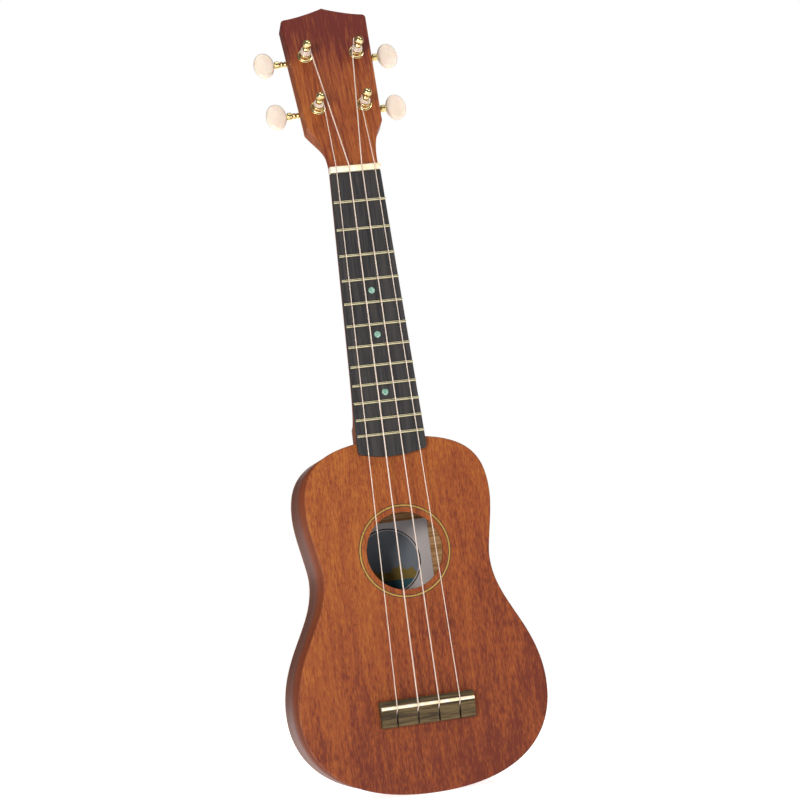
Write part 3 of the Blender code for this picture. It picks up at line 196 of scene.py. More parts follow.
class UkuleleStrings(PropertyGroup):
    """The four strings' gauges and their route."""

    radius_g: length("G radius", "Radius of the g string", 0.31)
    radius_c: length("C radius", "Radius of the c string", 0.44)
    radius_e: length("E radius", "Radius of the e string", 0.40)
    radius_a: length("A radius", "Radius of the a string", 0.31)
    nut_span: length("Span at nut", "From the g to the a string at the nut", 26)
    saddle_span: length("Span at saddle", "From the g to the a string at the saddle", 41.6)
    first_action: length("Action at nut", "Height of the strings over the frets' plane", 0.45)
    twelfth_action: length("Action at 12", "Height of the strings at the last fret", 2.5)
    wrap_height: length("Wrap height", "Lowest wrap's height over the headstock", 6.6)
    wrap_turns: IntProperty(name="Wraps", description="Turns on each post", default=4, min=1)
    wrap_swell: length("Wrap swell", "How far the lowest wrap lies over the post", 0.8)
    tail: length("Cut tail", "Length of the cut ends", 5)


class UkuleleTuners(PropertyGroup):
    """The geared tuning machines."""

    post_radius: length("Post", "Radius of a string post", 2.5)
    waist_radius: length("Post waist", "Radius where the string winds", 1.9)
    ball_radius: length("Ball", "Radius of the ball on a post", 3.1)
    ball_height: length("Ball height", "Height of the ball's centre", 14.8)
    flange_radius: length("Flange", "Radius of a bushing's flange", 5.2)
    bushing_neck: length("Bushing neck", "Radius of a bushing's neck", 3.4)
    bushing_height: length("Bushing height", "Height of a bushing over the face", 4.6)
    gear_radius: length("Gear", "Pitch radius of a post's gear", 4.41)
    gear_thickness: length("Gear thickness", "Thickness of a post's gear", 2.2)
    gear_level: length("Gear level", "Gear's middle behind the headstock's face", 17.93)
    worm_radius: length("Worm", "Outer radius of a worm", 2.48)
    worm_length: length("Worm length", "Length of a worm's thread", 6.2)
    shaft_radius: length("Shaft", "Radius of a worm shaft", 1.4)
    bead_radius: length("Bead", "Radius of the shaft's turned beads", 2.1)
    collar_radius: length("Collar", "Radius of the shaft's collar", 2.6)
    button_height: length("Button height", "Height of an oval button", 20)
    button_thickness: length("Button thickness", "Thickness of a button", 4.2)
    screw_radius: length("Screw", "Radius of a plate screw's head", 1.5)


class UkuleleColours(PropertyGroup):
    """Each finish's tones."""

    board_light: colour("Soundboard, light", "Lightest ribbon of the soundboard", "#9E5C26")
    board_mid: colour("Soundboard, middle", "Usual tone of the soundboard", "#884420")
    board_dark: colour("Soundboard, dark", "Darkest ribbon of the soundboard", "#63291B")
    # Both side tones are set darker than the soundboard's, as painted shade of sides that the
    # light reaches only at a slant.
    shaded_side_light: colour("Side, light", "Light streaks of the sides", "#8A4829")
    shaded_side_dark: colour("Side, dark", "Dark streaks of the sides", "#5E2A1A")
    neck_light: colour("Neck, light", "Light streaks of the neck", "#A05B28")
    neck_mid: colour("Neck, middle", "Usual tone of the neck", "#874322")
    neck_dark: colour("Neck, dark", "Dark tone at the headstock's top", "#60221A")
    pore: colour("Pores", "Filled pores of the mahogany", "#5C2614")
    spruce_light: colour("Softwood, light", "Early wood inside the box", "#D0A676")
    spruce_dark: colour("Softwood, dark", "Late wood inside the box", "#A87745")
    ebon_light: colour("Fretboard, light", "Light streaks of the fretboard", "#434040")
    ebon_dark: colour("Fretboard, dark", "Dark ground of the fretboard", "#222225")
    bridge_light: colour("Bridge, light", "Light streaks of the bridge", "#665639")
    bridge_dark: colour("Bridge, dark", "Dark streaks of the bridge", "#33291B")
    gold: colour("Gold plate", "Gold plating of the tuning machines", "#E9D59C")
    bronze: colour("Worn gold", "Duller gold in the plating's hollows", "#B08F52")
    fret: colour("Fret wire", "Nickel silver of the frets", "#C2B998")
    cream: colour("Buttons", "Cream plastic of the buttons", "#EADDCF")
    cream_shade: colour("Buttons, cloud", "Pearl cloud in the buttons", "#E2D3C3")
    bone_light: colour("Bone", "Imitation bone of the nut and saddle", "#FBF3E2")
    bone_dark: colour("Bone, warm", "Warmer clouds in the bone", "#F0E3BB")
    nylon: colour("Nylon", "Milky strings", "#F6E6DA")
    shell_green: colour("Shell, green", "Green of the position dots", "#4F8471")
    shell_pale: colour("Shell, pale", "Pale fire of the position dots", "#9CC2B4")
    rosette_gold: colour("Rosette gold", "Gold line of the rosette", "#C39A4B")
    rosette_black: colour("Rosette black", "Black lines of the rosette", "#1D1612")
    paper: colour("Label paper", "Grey-white paper of the label", "#D6D2D6")
    ink: colour("Label ink", "Black ink of the label's ring", "#1D1C20")
    sky: colour("Label sky", "Grey-blue sky printed inside the label's ring", "#7E8894")
    hill: colour("Label hill", "Yellow hill printed on the label", "#8C7A3E")
    sea: colour("Label sea", "Blue-green sea printed on the label", "#3A6A7A")
    floor: colour("Floor", "Pale studio floor", "#F4F4F4")


# Making pieces


def box(node):
    low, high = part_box(node)
    return Vector(low), Vector(high)


def fit(made, body, slot, *nodes):
    """Joins a finished piece to its body and hides the solids it stands for; the slot is not used.
    """
    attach(made, body)
    if nodes:
        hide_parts(*nodes)


def piece(name, bm, material, slot, nodes=(), body="instrument", smooth=40):
    """An object made from a bmesh, closed, facing outwards and smooth under an angle."""
    bmesh.ops.remove_doubles(bm, verts=bm.verts, dist=0.002 * MM)
    if all(edge.is_manifold for edge in bm.edges):
        bmesh.ops.recalc_face_normals(bm, faces=bm.faces)
    mesh = bpy.data.meshes.new(name)
    bm.to_mesh(mesh)
    bm.free()
    mesh.shade_smooth()
    mesh.set_sharp_from_angle(angle=radians(smooth))
    mesh.materials.append(material)
    made = bpy.data.objects.new(name, mesh)
    bpy.context.scene.collection.objects.link(made)
    weighted = made.modifiers.new("flat faces stay flat", "WEIGHTED_NORMAL")
    weighted.keep_sharp = True
    fit(made, body, slot, *nodes)
    return made


def curve(knots, steps):
    """Points along a run of cubic curves; each knot holds its place and its two handles."""
    points = []
    for (start, _, leave), (end, arrive, _) in zip(knots, knots[1:]):
        points += interpolate_bezier(start, leave, arrive, end, steps + 1)[:-1]
    return points + [Vector(knots[-1][0])]


def closed_loop(bm, points):
    verts = [bm.verts.new(point) for point in points]
    return [bm.edges.new(pair) for pair in zip(verts, verts[1:] + verts[:1])]


def thicken(bm, by):
    """A flat sheet made solid by pulling all its faces along one direction."""
    pulled = bmesh.ops.extrude_face_region(bm, geom=bm.faces[:])["geom"]
    verts = [item for item in pulled if isinstance(item, bmesh.types.BMVert)]
    bmesh.ops.translate(bm, verts=verts, vec=by)
    bmesh.ops.recalc_face_normals(bm, faces=bm.faces)


def sheet(points):
    bm = bmesh.new()
    bmesh.ops.contextual_create(bm, geom=closed_loop(bm, points))
    return bm


def prism(points, by):
    bm = sheet(points)
    thicken(bm, by)
    return bm


def stands_at(edge, axis, level):
    """Whether both ends of an edge stand at one level along an axis, 0 for X, 1 Y and 2 Z."""
    return all(abs(vert.co[axis] - level) < CLOSE for vert in edge.verts)


def round_off(bm, radius, segments=3, angle=40, where=None):
    """Bevels the edges sharper than an angle, or those of them that a test picks."""
    chosen = [
        edge
        for edge in bm.edges
        if edge.is_manifold
        and edge.calc_face_angle() > radians(angle)
        and (where is None or where(edge))
    ]
    bmesh.ops.bevel(
        bm,
        geom=chosen,
        offset=radius,
        offset_type="OFFSET",
        segments=segments,
        profile=0.5,
        affect="EDGES",
        clamp_overlap=True,
        material=-1,
    )


def merged(node):
    """A copy of a solid's mesh, its triangles joined into whole faces."""
    bm = bmesh.new()
    bm.from_mesh(frame["nodes"][node].data)
    bmesh.ops.remove_doubles(bm, verts=bm.verts, dist=0.005 * MM)
    bmesh.ops.dissolve_limit(bm, angle_limit=radians(1), verts=bm.verts, edges=bm.edges)
    return bm


def cut_away(bm, cutter):
    """A solid with another cut out of it."""
    objects = []
    for shape in (bm, cutter):
        bmesh.ops.recalc_face_normals(shape, faces=shape.faces)
        mesh = bpy.data.meshes.new("cutting")
        shape.to_mesh(mesh)
        shape.free()
        objects.append(bpy.data.objects.new("cutting", mesh))
        bpy.context.scene.collection.objects.link(objects[-1])
    step = objects[0].modifiers.new("cut", "BOOLEAN")
    step.operation = "DIFFERENCE"
    step.solver = "EXACT"
    step.object = objects[1]
    left = bmesh.new()
    left.from_object(objects[0], bpy.context.evaluated_depsgraph_get())
    for spent in objects:
        mesh = spent.data
        bpy.data.objects.remove(spent)
        bpy.data.meshes.remove(mesh)
    bmesh.ops.remove_doubles(left, verts=left.verts, dist=0.001 * MM)
    bmesh.ops.dissolve_limit(left, angle_limit=radians(1), verts=left.verts, edges=left.edges)
    return left


def turned(profile, steps, place=Matrix()):
    """(radius, height) points turned once about Z, then put in place."""
    bm = bmesh.new()
    verts = [bm.verts.new((radius, 0, height)) for radius, height in profile]
    edges = [bm.edges.new(pair) for pair in zip(verts, verts[1:])]
    bmesh.ops.spin(
        bm,
        geom=verts + edges,
        cent=(0, 0, 0),
        axis=(0, 0, 1),
        angle=2 * pi,
        steps=steps,
        use_merge=True,
    )
    bmesh.ops.remove_doubles(bm, verts=bm.verts, dist=0.001 * MM)
    bmesh.ops.recalc_face_normals(bm, faces=bm.faces)
    bmesh.ops.transform(bm, matrix=place, verts=bm.verts)
    return bm


def arc(centre, radius, first, last, steps):
    """Points round part of a circle, angles in degrees."""
    turns = [radians(first + (last - first) * i / steps) for i in range(steps + 1)]
    return [(centre[0] + radius * cos(t), centre[1] + radius * sin(t)) for t in turns]


def wire(name, route, radius, material, slot, *nodes):
    """Round wire along a run of points, its cut ends closed."""
    shape = bpy.data.curves.new(name, "CURVE")
    shape.dimensions = "3D"
    shape.bevel_depth = radius
    shape.bevel_resolution = 5
    shape.use_fill_caps = True
    spline = shape.splines.new("POLY")
    spline.points.add(len(route) - 1)
    for point, place in zip(spline.points, route):
        point.co = (*place, 1)
    shape.materials.append(material)
    made = bpy.data.objects.new(name, shape)
    bpy.context.scene.collection.objects.link(made)
    fit(made, "instrument", slot, *nodes)


# Finishes


def add(tree, kind, inputs=None, **attributes):
    """One node, with its attributes set and its inputs set or linked."""
    made = tree.nodes.new(kind)
    for name, value in attributes.items():
        setattr(made, name, value)
    for name, value in (inputs or {}).items():
        if isinstance(value, bpy.types.NodeSocket):
            tree.links.new(value, made.inputs[name])
        else:
            made.inputs[name].default_value = value
    return made


def start_finish(name, **values):
    """A new material, its node tree and its shader, with the shader's even values set."""
    made = bpy.data.materials.new(name)
    made.use_nodes = True
    shader = made.node_tree.nodes["Principled BSDF"]
    for key, value in values.items():
        shader.inputs[key.replace("_", " ")].default_value = value
    return made, made.node_tree, shader


def finish(name, **values):
    """Marks a function as a finish's recipe, carried out the first time a piece asks for it."""

    def with_recipe(recipe):
        def find_or_make():
            found = bpy.data.materials.get(name)
            if found:
                return found
            made, tree, shader = start_finish(name, **values)
            recipe(tree, shader, bpy.context.scene.ukulele_colours)
            return made

        return find_or_make

    return with_recipe


def figure(tree, place, across, along, detail=3, distortion=0.0):
    """Noise drawn out along the grain, from the real width and length of one mark."""
    stretched = add(
        tree,
        "ShaderNodeMapping",
        {"Vector": place, "Scale": (1 / across, 1 / across, 1 / along)},
    )
    noise = add(
        tree,
        "ShaderNodeTexNoise",
        {
            "Vector": stretched.outputs[0],
            "Scale": 1,
            "Detail": detail,
            "Roughness": 0.55,
            "Distortion": distortion,
        },
    )
    return noise.outputs[0]


def between(tree, value, low, high, to_low=0.0, to_high=1.0):
    """A value's range, low to high, drawn out to another and kept inside it."""
    made = add(
        tree,
        "ShaderNodeMapRange",
        {"Value": value, 1: low, 2: high, 3: to_low, 4: to_high},
        interpolation_type="SMOOTHSTEP",
    )
    return made.outputs[0]


def blend(tree, share, first, second, way="MIX"):
    mixed = add(
        tree, "ShaderNodeMix", {0: share, 6: first, 7: second}, data_type="RGBA", blend_type=way
    )
    return mixed.outputs[2]


def raise_from(tree, shader, height, depth, strength=1.0):
    bump = add(
        tree, "ShaderNodeBump", {"Height": height, "Distance": depth, "Strength": strength}
    )
    tree.links.new(bump.outputs[0], shader.inputs["Normal"])


def wood_figure(tree, place, shader, tones, pore_tone, marks, pore_depth, shift=None):
    """Broad ribbons, fine fibres and short pores of a porous wood, its grain along Z."""
    dark, middle, light = tones
    (band, band_run), (streak, streak_run), (fibre, fibre_run), (pore, pore_run) = marks
    layers = (
        (figure(tree, place, band, band_run, 2, 0.5), 0.30),
        (figure(tree, place, streak, streak_run, 3, 0.3), 0.42),
        (figure(tree, place, fibre, fibre_run, 3), 0.7),
    )
    tone = 0.0 if shift is None else shift
    for layer, share in layers:
        centred = add(tree, "ShaderNodeMath", {0: layer, 1: 0.5}, operation="SUBTRACT")
        tone = add(
            tree,
            "ShaderNodeMath",
            {0: centred.outputs[0], 1: share * 2.6, 2: tone},
            operation="MULTIPLY_ADD",
        ).outputs[0]
    lower = blend(tree, between(tree, tone, -0.5, 0.05), dark, middle)
    ground = blend(tree, between(tree, tone, -0.05, 0.55), lower, light)
    pores = between(tree, figure(tree, place, pore, pore_run, 2), 0.56, 0.66)
    strength = between(tree, layers[0][0], 0.35, 0.65, 0.75, 0.25)
    holes = add(tree, "ShaderNodeMath", {0: pores, 1: strength}, operation="MULTIPLY").outputs[0]
    tree.links.new(blend(tree, holes, ground, pore_tone), shader.inputs["Base Color"])
    raise_from(tree, shader, holes, -pore_depth, 0.5)
    tree.links.new(between(tree, holes, 0, 1, 0.46, 0.62), shader.inputs["Roughness"])


def object_place(tree, turn=(0, 0, 0)):
    """Object coordinates, turned so that the grain runs along Z."""
    origin = add(tree, "ShaderNodeTexCoord").outputs["Object"]
    return add(tree, "ShaderNodeMapping", {"Vector": origin, "Rotation": turn}).outputs[0]


@finish("satin lacquered mahogany plywood", IOR=1.5, Specular_IOR_Level=0.22)
def body_mahogany(tree, shader, tones):
    """Rotary-cut mahogany plywood, pores open under one satin lacquer: orange ribbons that turn
    redder and darker towards the treble side's tail, partly the wood's own tone and partly painted
    shade, short dark flecks and a soft sheen."""
    place = object_place(tree)
    # The board goes from orange at the bass side's top to a darker red at the treble side's tail,
    # partly the wood's own tone and partly painted shade of the light falling off towards the
    # tail.
    (left, _, low), (right, _, high) = [tuple(corner) for corner in box("soundboard")]
    across, down = 0.55 / (right - left), 1.0 / (high - low)
    shade_and_tone_diagonal = add(
        tree,
        "ShaderNodeVectorMath",
        {0: place, 1: (-across, 0, down)},
        operation="DOT_PRODUCT",
    ).outputs["Value"]
    middle = (low + high) / 2 * down
    # This shift darkens the tone towards the treble side's tail, partly as painted shade.
    shift = between(tree, shade_and_tone_diagonal, middle - 0.75, middle + 0.75, -0.34, 0.26)
    wood_figure(
        tree,
        place,
        shader,
        (tones.board_dark, tones.board_mid, tones.board_light),
        tones.pore,
        # Real pores are 0.2 mm wide; they are drawn 0.7 mm wide, as fine as shows at full length.
        ((18 * MM, 90 * MM), (3 * MM, 24 * MM), (0.9 * MM, 5 * MM), (0.7 * MM, 3 * MM)),
        0.05 * MM,
        shift,
    )


@finish("bent side mahogany", IOR=1.5, Specular_IOR_Level=0.22)
def side_mahogany(tree, shader, tones):
    """Solid mahogany bent on a hot iron: its straight grain follows the bend, darker than the
    soundboard: painted shade of sides that the light reaches only at a slant."""
    run = add(tree, "ShaderNodeUVMap", uv_map="along the bend").outputs[0]
    parts = add(tree, "ShaderNodeSeparateXYZ", {0: run}).outputs
    place = add(tree, "ShaderNodeCombineXYZ", {"X": parts[1], "Z": parts[0]}).outputs[0]
    # Painted shade: the sides' tones are darker than the soundboard's.
    middle = blend(tree, 0.5, tones.shaded_side_dark, tones.shaded_side_light)
    wood_figure(
        tree,
        place,
        shader,
        (tones.shaded_side_dark, middle, tones.shaded_side_light),
        tones.pore,
        # The pores are drawn four times as wide as real ones, so that they show.
        ((12 * MM, 160 * MM), (2.2 * MM, 70 * MM), (0.9 * MM, 16 * MM), (0.8 * MM, 6 * MM)),
        0.05 * MM,
    )


@finish("shaped neck mahogany", IOR=1.5, Specular_IOR_Level=0.22)
def neck_mahogany(tree, shader, tones):
    """Solid quarter-sawn mahogany shaped by hand and lacquered: long straight streaks that
    darken to a wine red at the headstock's top."""
    tilt = bpy.context.scene.ukulele_neck.tilt
    place = object_place(tree, (tilt, 0, 0))
    height = add(tree, "ShaderNodeSeparateXYZ", {0: place}).outputs["Z"]
    high = box("neck")[1].z
    shift = between(tree, height, 0.5 * high, 0.95 * high, 0.12, -0.5)
    wood_figure(
        tree,
        place,
        shader,
        (tones.neck_dark, tones.neck_mid, tones.neck_light),
        tones.pore,
        # The pores are drawn over three times as wide as real ones, so that they show.
        ((9 * MM, 120 * MM), (2.2 * MM, 40 * MM), (0.9 * MM, 12 * MM), (0.7 * MM, 5 * MM)),
        0.05 * MM,
        shift,
    )


@finish("bare planed spruce", Roughness=0.75)
def bare_softwood(tree, shader, tones):
    """Planed spruce left bare inside the box: pale, dull, with soft year lines."""
    place = object_place(tree, (0, pi / 2, 0))
    lines = between(tree, figure(tree, place, 1.1 * MM, 90 * MM, 1), 0.4, 0.62)
    wood = blend(tree, lines, tones.spruce_light, tones.spruce_dark)
    tree.links.new(wood, shader.inputs["Base Color"])
    raise_from(tree, shader, figure(tree, place, 0.5 * MM, 12 * MM), 0.04 * MM)


@finish("oiled dark rosewood", Roughness=0.5, IOR=1.48, Specular_IOR_Level=0.25)
def dark_rosewood(tree, shader, tones):
    """Oiled rosewood dyed near black: straight grey-brown streaks and a low sheen."""
    place = object_place(tree)
    broad = between(tree, figure(tree, place, 4.5 * MM, 110 * MM, 2), 0.35, 0.65, 0.0, 0.6)
    fine = between(tree, figure(tree, place, 0.8 * MM, 26 * MM, 4), 0.4, 0.7, 0.0, 0.75)
    both = add(tree, "ShaderNodeMath", {0: broad, 1: fine}, operation="MAXIMUM").outputs[0]
    wood = blend(tree, both, tones.ebon_dark, tones.ebon_light)
    tree.links.new(wood, shader.inputs["Base Color"])
    raise_from(tree, shader, fine, 0.05 * MM, 0.5)


@finish("dry brown rosewood", Roughness=0.6, IOR=1.45, Specular_IOR_Level=0.25)
def brown_rosewood(tree, shader, tones):
    """Rosewood planed and left dry: olive brown with dark wavy streaks along the bridge."""
    place = object_place(tree, (0, pi / 2, 0))
    broad = between(tree, figure(tree, place, 1.6 * MM, 30 * MM, 3, 0.6), 0.36, 0.66)
    fine = between(tree, figure(tree, place, 0.6 * MM, 9 * MM, 3), 0.5, 0.72, 0.0, 0.7)
    ground = blend(tree, broad, tones.bridge_dark, tones.bridge_light)
    wood = blend(tree, fine, ground, tones.bridge_dark)
    tree.links.new(wood, shader.inputs["Base Color"])
    raise_from(tree, shader, fine, -0.06 * MM, 0.6)


@finish(
    "buffed imitation bone",
    Roughness=0.28,
    IOR=1.54,
    Subsurface_Weight=0.15,
    Subsurface_Scale=1.5 * MM,
)
def imitation_bone(tree, shader, tones):
    """Cast imitation bone, buffed: cream with warmer clouds and light that enters a little."""
    place = object_place(tree)
    cloud = between(tree, figure(tree, place, 5 * MM, 5 * MM, 3), 0.35, 0.65)
    bone = blend(tree, cloud, tones.bone_light, tones.bone_dark)
    tree.links.new(bone, shader.inputs["Base Color"])
    raise_from(tree, shader, figure(tree, place, 0.4 * MM, 0.4 * MM), 0.01 * MM, 0.4)


@finish("ground imitation abalone", Roughness=0.15, IOR=1.6, Coat_Weight=0.5)
def shell(tree, shader, tones):
    """Imitation abalone, ground flush: folded green and pale bands with a wet gloss."""
    place = object_place(tree, (0, radians(35), 0))
    folds = between(tree, figure(tree, place, 0.9 * MM, 2.2 * MM, 3, 1.2), 0.4, 0.62)
    fire = blend(tree, folds, tones.shell_green, tones.shell_pale)
    tree.links.new(fire, shader.inputs["Base Color"])


@finish("polished nickel silver", Metallic=1)
def fret_wire(tree, shader, tones):
    """Drawn nickel silver with a polished crown: pale warm metal, fine scratches along it."""
    shader.inputs["Base Color"].default_value = tones.fret
    place = object_place(tree, (0, pi / 2, 0))
    scratches = figure(tree, place, 0.3 * MM, 6 * MM, 2)
    tree.links.new(between(tree, scratches, 0.3, 0.7, 0.12, 0.24), shader.inputs["Roughness"])


@finish("thin gold plate", Metallic=1)
def gold_plate(tree, shader, tones):
    """Thin gold plate on turned brass and pressed steel: bright on the crowns, browner and
    duller where fingers and string have rubbed."""
    place = object_place(tree)
    worn = between(tree, figure(tree, place, 2.5 * MM, 2.5 * MM, 4), 0.42, 0.7, 0.0, 0.6)
    tree.links.new(blend(tree, worn, tones.gold, tones.bronze), shader.inputs["Base Color"])
    tree.links.new(between(tree, worn, 0, 0.6, 0.14, 0.36), shader.inputs["Roughness"])
    raise_from(tree, shader, figure(tree, place, 0.5 * MM, 0.5 * MM, 2), 0.008 * MM, 0.5)


@finish(
    "moulded cream plastic",
    Roughness=0.3,
    IOR=1.49,
    Coat_Weight=0.3,
    Coat_Roughness=0.15,
    Subsurface_Weight=0.2,
    Subsurface_Scale=2 * MM,
)
def pearl_plastic(tree, shader, tones):
    """Moulded cream plastic with a faint pearl: soft clouds under a smooth gloss."""
    place = object_place(tree, (0, radians(30), 0))
    cloud = between(tree, figure(tree, place, 8 * MM, 12 * MM, 2, 0.6), 0.35, 0.7)
    cream = blend(tree, cloud, tones.cream, tones.cream_shade)
    tree.links.new(cream, shader.inputs["Base Color"])


@finish("extruded milky nylon", Roughness=0.22, IOR=1.53, Transmission_Weight=0.4)
def clear_nylon(tree, shader, tones):
    """Extruded nylon, milky and slightly clear: it picks up the wood and metal behind it."""
    place = object_place(tree)
    waves = between(tree, figure(tree, place, 3 * MM, 30 * MM), 0.4, 0.6, 0.0, 0.3)
    milk = blend(tree, waves, tones.nylon, tones.cream_shade)
    tree.links.new(milk, shader.inputs["Base Color"])


def rosette_lacquer(name, tone, gloss):
    """One of the rosette's printed and lacquered lines, with a slightly uneven film."""
    found = bpy.data.materials.get(name)
    if found:
        return found
    made, tree, shader = start_finish(name, Base_Color=tone, Coat_Weight=0.3)
    place = object_place(tree)
    film = figure(tree, place, 1.5 * MM, 1.5 * MM)
    tree.links.new(between(tree, film, 0.3, 0.7, gloss, gloss + 0.15), shader.inputs["Roughness"])
    return made


@finish("printed label paper", Roughness=0.85)
def label_paper(tree, shader, tones):
    """Matt printed paper: a thin black ring round a plain hill over water, no lettering."""
    low, high = box("label")
    centre = (low + high) / 2
    place = add(
        tree,
        "ShaderNodeVectorMath",
        {0: add(tree, "ShaderNodeTexCoord").outputs["Object"], 1: centre},
        operation="SUBTRACT",
    ).outputs[0]
    flat = add(tree, "ShaderNodeVectorMath", {0: place, 1: (1, 0, 1)}, operation="MULTIPLY")
    far = add(tree, "ShaderNodeVectorMath", {0: flat.outputs[0]}, operation="LENGTH")
    radius = far.outputs["Value"]
    height = add(tree, "ShaderNodeSeparateXYZ", {0: place}).outputs["Z"]
    wave = between(tree, figure(tree, place, 14 * MM, 200 * MM, 2), 0.3, 0.7, -5 * MM, 5 * MM)
    ridge = add(tree, "ShaderNodeMath", {0: height, 1: wave}).outputs[0]
    edge = 0.2 * MM
    hill_top, shore = -6 * MM, -13 * MM
    picture, ring_inner, ring_outer = 21 * MM, 21.6 * MM, 22.4 * MM
    hill = between(tree, ridge, hill_top + edge, hill_top - edge)
    water = between(tree, height, shore + edge, shore - edge)
    inside = between(tree, radius, picture + edge, picture - edge)
    fibres = between(tree, figure(tree, place, 0.8 * MM, 0.8 * MM, 4), 0.3, 0.7, 0.0, 0.12)
    paper = blend(tree, fibres, tones.paper, tones.ink)
    sky = blend(tree, fibres, tones.sky, tones.ink)
    scene_print = blend(tree, water, blend(tree, hill, sky, tones.hill), tones.sea)
    printed = blend(tree, inside, paper, scene_print)
    past_inner = between(tree, radius, ring_inner, ring_inner + edge)
    short_of_outer = between(tree, radius, ring_outer + edge, ring_outer)
    ring = add(
        tree, "ShaderNodeMath", {0: past_inner, 1: short_of_outer}, operation="MULTIPLY"
    ).outputs[0]
    tree.links.new(blend(tree, ring, printed, tones.ink), shader.inputs["Base Color"])


# Soundbox


def half_outline():
    """Down the treble side, from the neck joint to the tail seam, on the plane y = 0."""
    body = bpy.context.scene.ukulele_body
    low, high = box("soundboard")
    top, bottom = high.z, low.z
    upper, waist = top - body.upper_drop, top - body.waist_drop
    lower = bottom + body.lower_rise

    def knot(x, z, up, down):
        return Vector((x, 0, z)), Vector((x, 0, z + up)), Vector((x, 0, z - down))

    start = Vector((0, 0, top))
    end = Vector((0, 0, bottom))
    knots = [
        (start, start, Vector((body.top_reach, 0, top))),
        knot(body.upper_half, upper, body.upper_above, body.upper_below),
        knot(body.waist_half, waist, body.waist_above, body.waist_below),
        knot(body.lower_half, lower, body.lower_above, body.lower_below),
        (end, Vector((body.bottom_reach, 0, bottom)), end),
    ]
    return curve(knots, body.steps)


def whole_outline(level):
    half = half_outline()
    left = [Vector((-point.x, 0, point.z)) for point in reversed(half[1:-1])]
    return [Vector((point.x, level, point.z)) for point in half + left]


def hole_centre():
    low, high = box("rosette")
    return (low.z + high.z) / 2


class UKULELE_OT_soundboard(Operator):
    """Makes the soundboard with its round hole and softened edges"""

    bl_idname = "ukulele.soundboard"
    bl_label = "Soundboard"

    def execute(self, context):
        body = context.scene.ukulele_body
        low, high = box("soundboard")
        rim = whole_outline(low.y)
        centre = Vector((0, low.y, hole_centre()))
        bm = bmesh.new()
        hole = [centre + (point - centre).normalized() * body.hole_radius for point in rim]
        bmesh.ops.bridge_loops(bm, edges=closed_loop(bm, rim) + closed_loop(bm, hole))
        thicken(bm, (0, high.y - low.y, 0))

        def at_front(edge):
            return stands_at(edge, 1, low.y)

        def at_hole(edge):
            return all(
                (vert.co - centre).length < body.hole_radius + 0.5 * MM for vert in edge.verts
            )

        round_off(bm, body.hole_round, 2, where=lambda e: at_front(e) and at_hole(e))
        round_off(bm, body.edge_round, 4, where=lambda e: at_front(e) and not at_hole(e))
        piece("soundboard_face", bm, body_mahogany(), "body_mahogany", ["soundboard"])
        return {"FINISHED"}


class UKULELE_OT_back(Operator):
    """Makes the flat back with softened edges"""

    bl_idname = "ukulele.back"
    bl_label = "Back"

    def execute(self, context):
        body = context.scene.ukulele_body
        low, high = box("back_plate")
        bm = prism(whole_outline(low.y), (0, high.y - low.y, 0))
        round_off(bm, body.edge_round, 4, where=lambda e: stands_at(e, 1, high.y))
        made = piece("back_face", bm, body_mahogany(), "body_mahogany", ["back_plate"])
        # Only the outside is lacquered: the face inside the box is bare.
        made.data.materials.append(bare_softwood())
        for face in made.data.polygons:
            if face.normal.y < -0.9:
                face.material_index = 1
        return {"FINISHED"}


class UKULELE_OT_sides(Operator):
    """Bends the two sides round the outline, their grain following the bend"""

    bl_idname = "ukulele.sides"
    bl_label = "Sides"

    def execute(self, context):
        body = context.scene.ukulele_body
        front = box("soundboard")[1].y
        back = box("back_plate")[0].y
        # The sides sit in from the boards' rounded edges by a hair, as a scraped joint does.
        scrape = 0.12 * MM
        for name, side in (("side_bass", -1), ("side_treble", 1)):
            bm = bmesh.new()
            run = [Vector((side * p.x, front, p.z)) for p in half_outline()]
            verts = [bm.verts.new(point) for point in run]
            edges = [bm.edges.new(pair) for pair in zip(verts, verts[1:])]
            pulled = bmesh.ops.extrude_edge_only(bm, edges=edges)["geom"]
            ends = [item for item in pulled if isinstance(item, bmesh.types.BMVert)]
            bmesh.ops.translate(bm, verts=ends, vec=(0, back - front, 0))
            along = [0.0]
            for a, b in zip(run, run[1:]):
                along.append(along[-1] + (b - a).length)
            reach = {round(point.z / MM, 3): s for point, s in zip(run, along)}
            layer = bm.loops.layers.uv.new("along the bend")
            for face in bm.faces:
                for loop in face.loops:
                    place = loop.vert.co
                    loop[layer].uv = (reach[round(place.z / MM, 3)] * side, place.y)
            bm.normal_update()
            widest = max(bm.faces, key=lambda face: face.calc_center_median().x * side)
            if widest.normal.x * side < 0:
                bmesh.ops.reverse_faces(bm, faces=bm.faces)
            mesh = bpy.data.meshes.new(name)
            bm.to_mesh(mesh)
            bm.free()
            mesh.shade_smooth()
            mesh.materials.append(side_mahogany())
            made = bpy.data.objects.new(f"{name}_bent", mesh)
            context.scene.collection.objects.link(made)
            wall = made.modifiers.new("wall", "SOLIDIFY")
            wall.thickness = body.side_thickness
            wall.offset = -1 - 2 * scrape / body.side_thickness
            fit(made, "instrument", "body_mahogany", name)
        return {"FINISHED"}


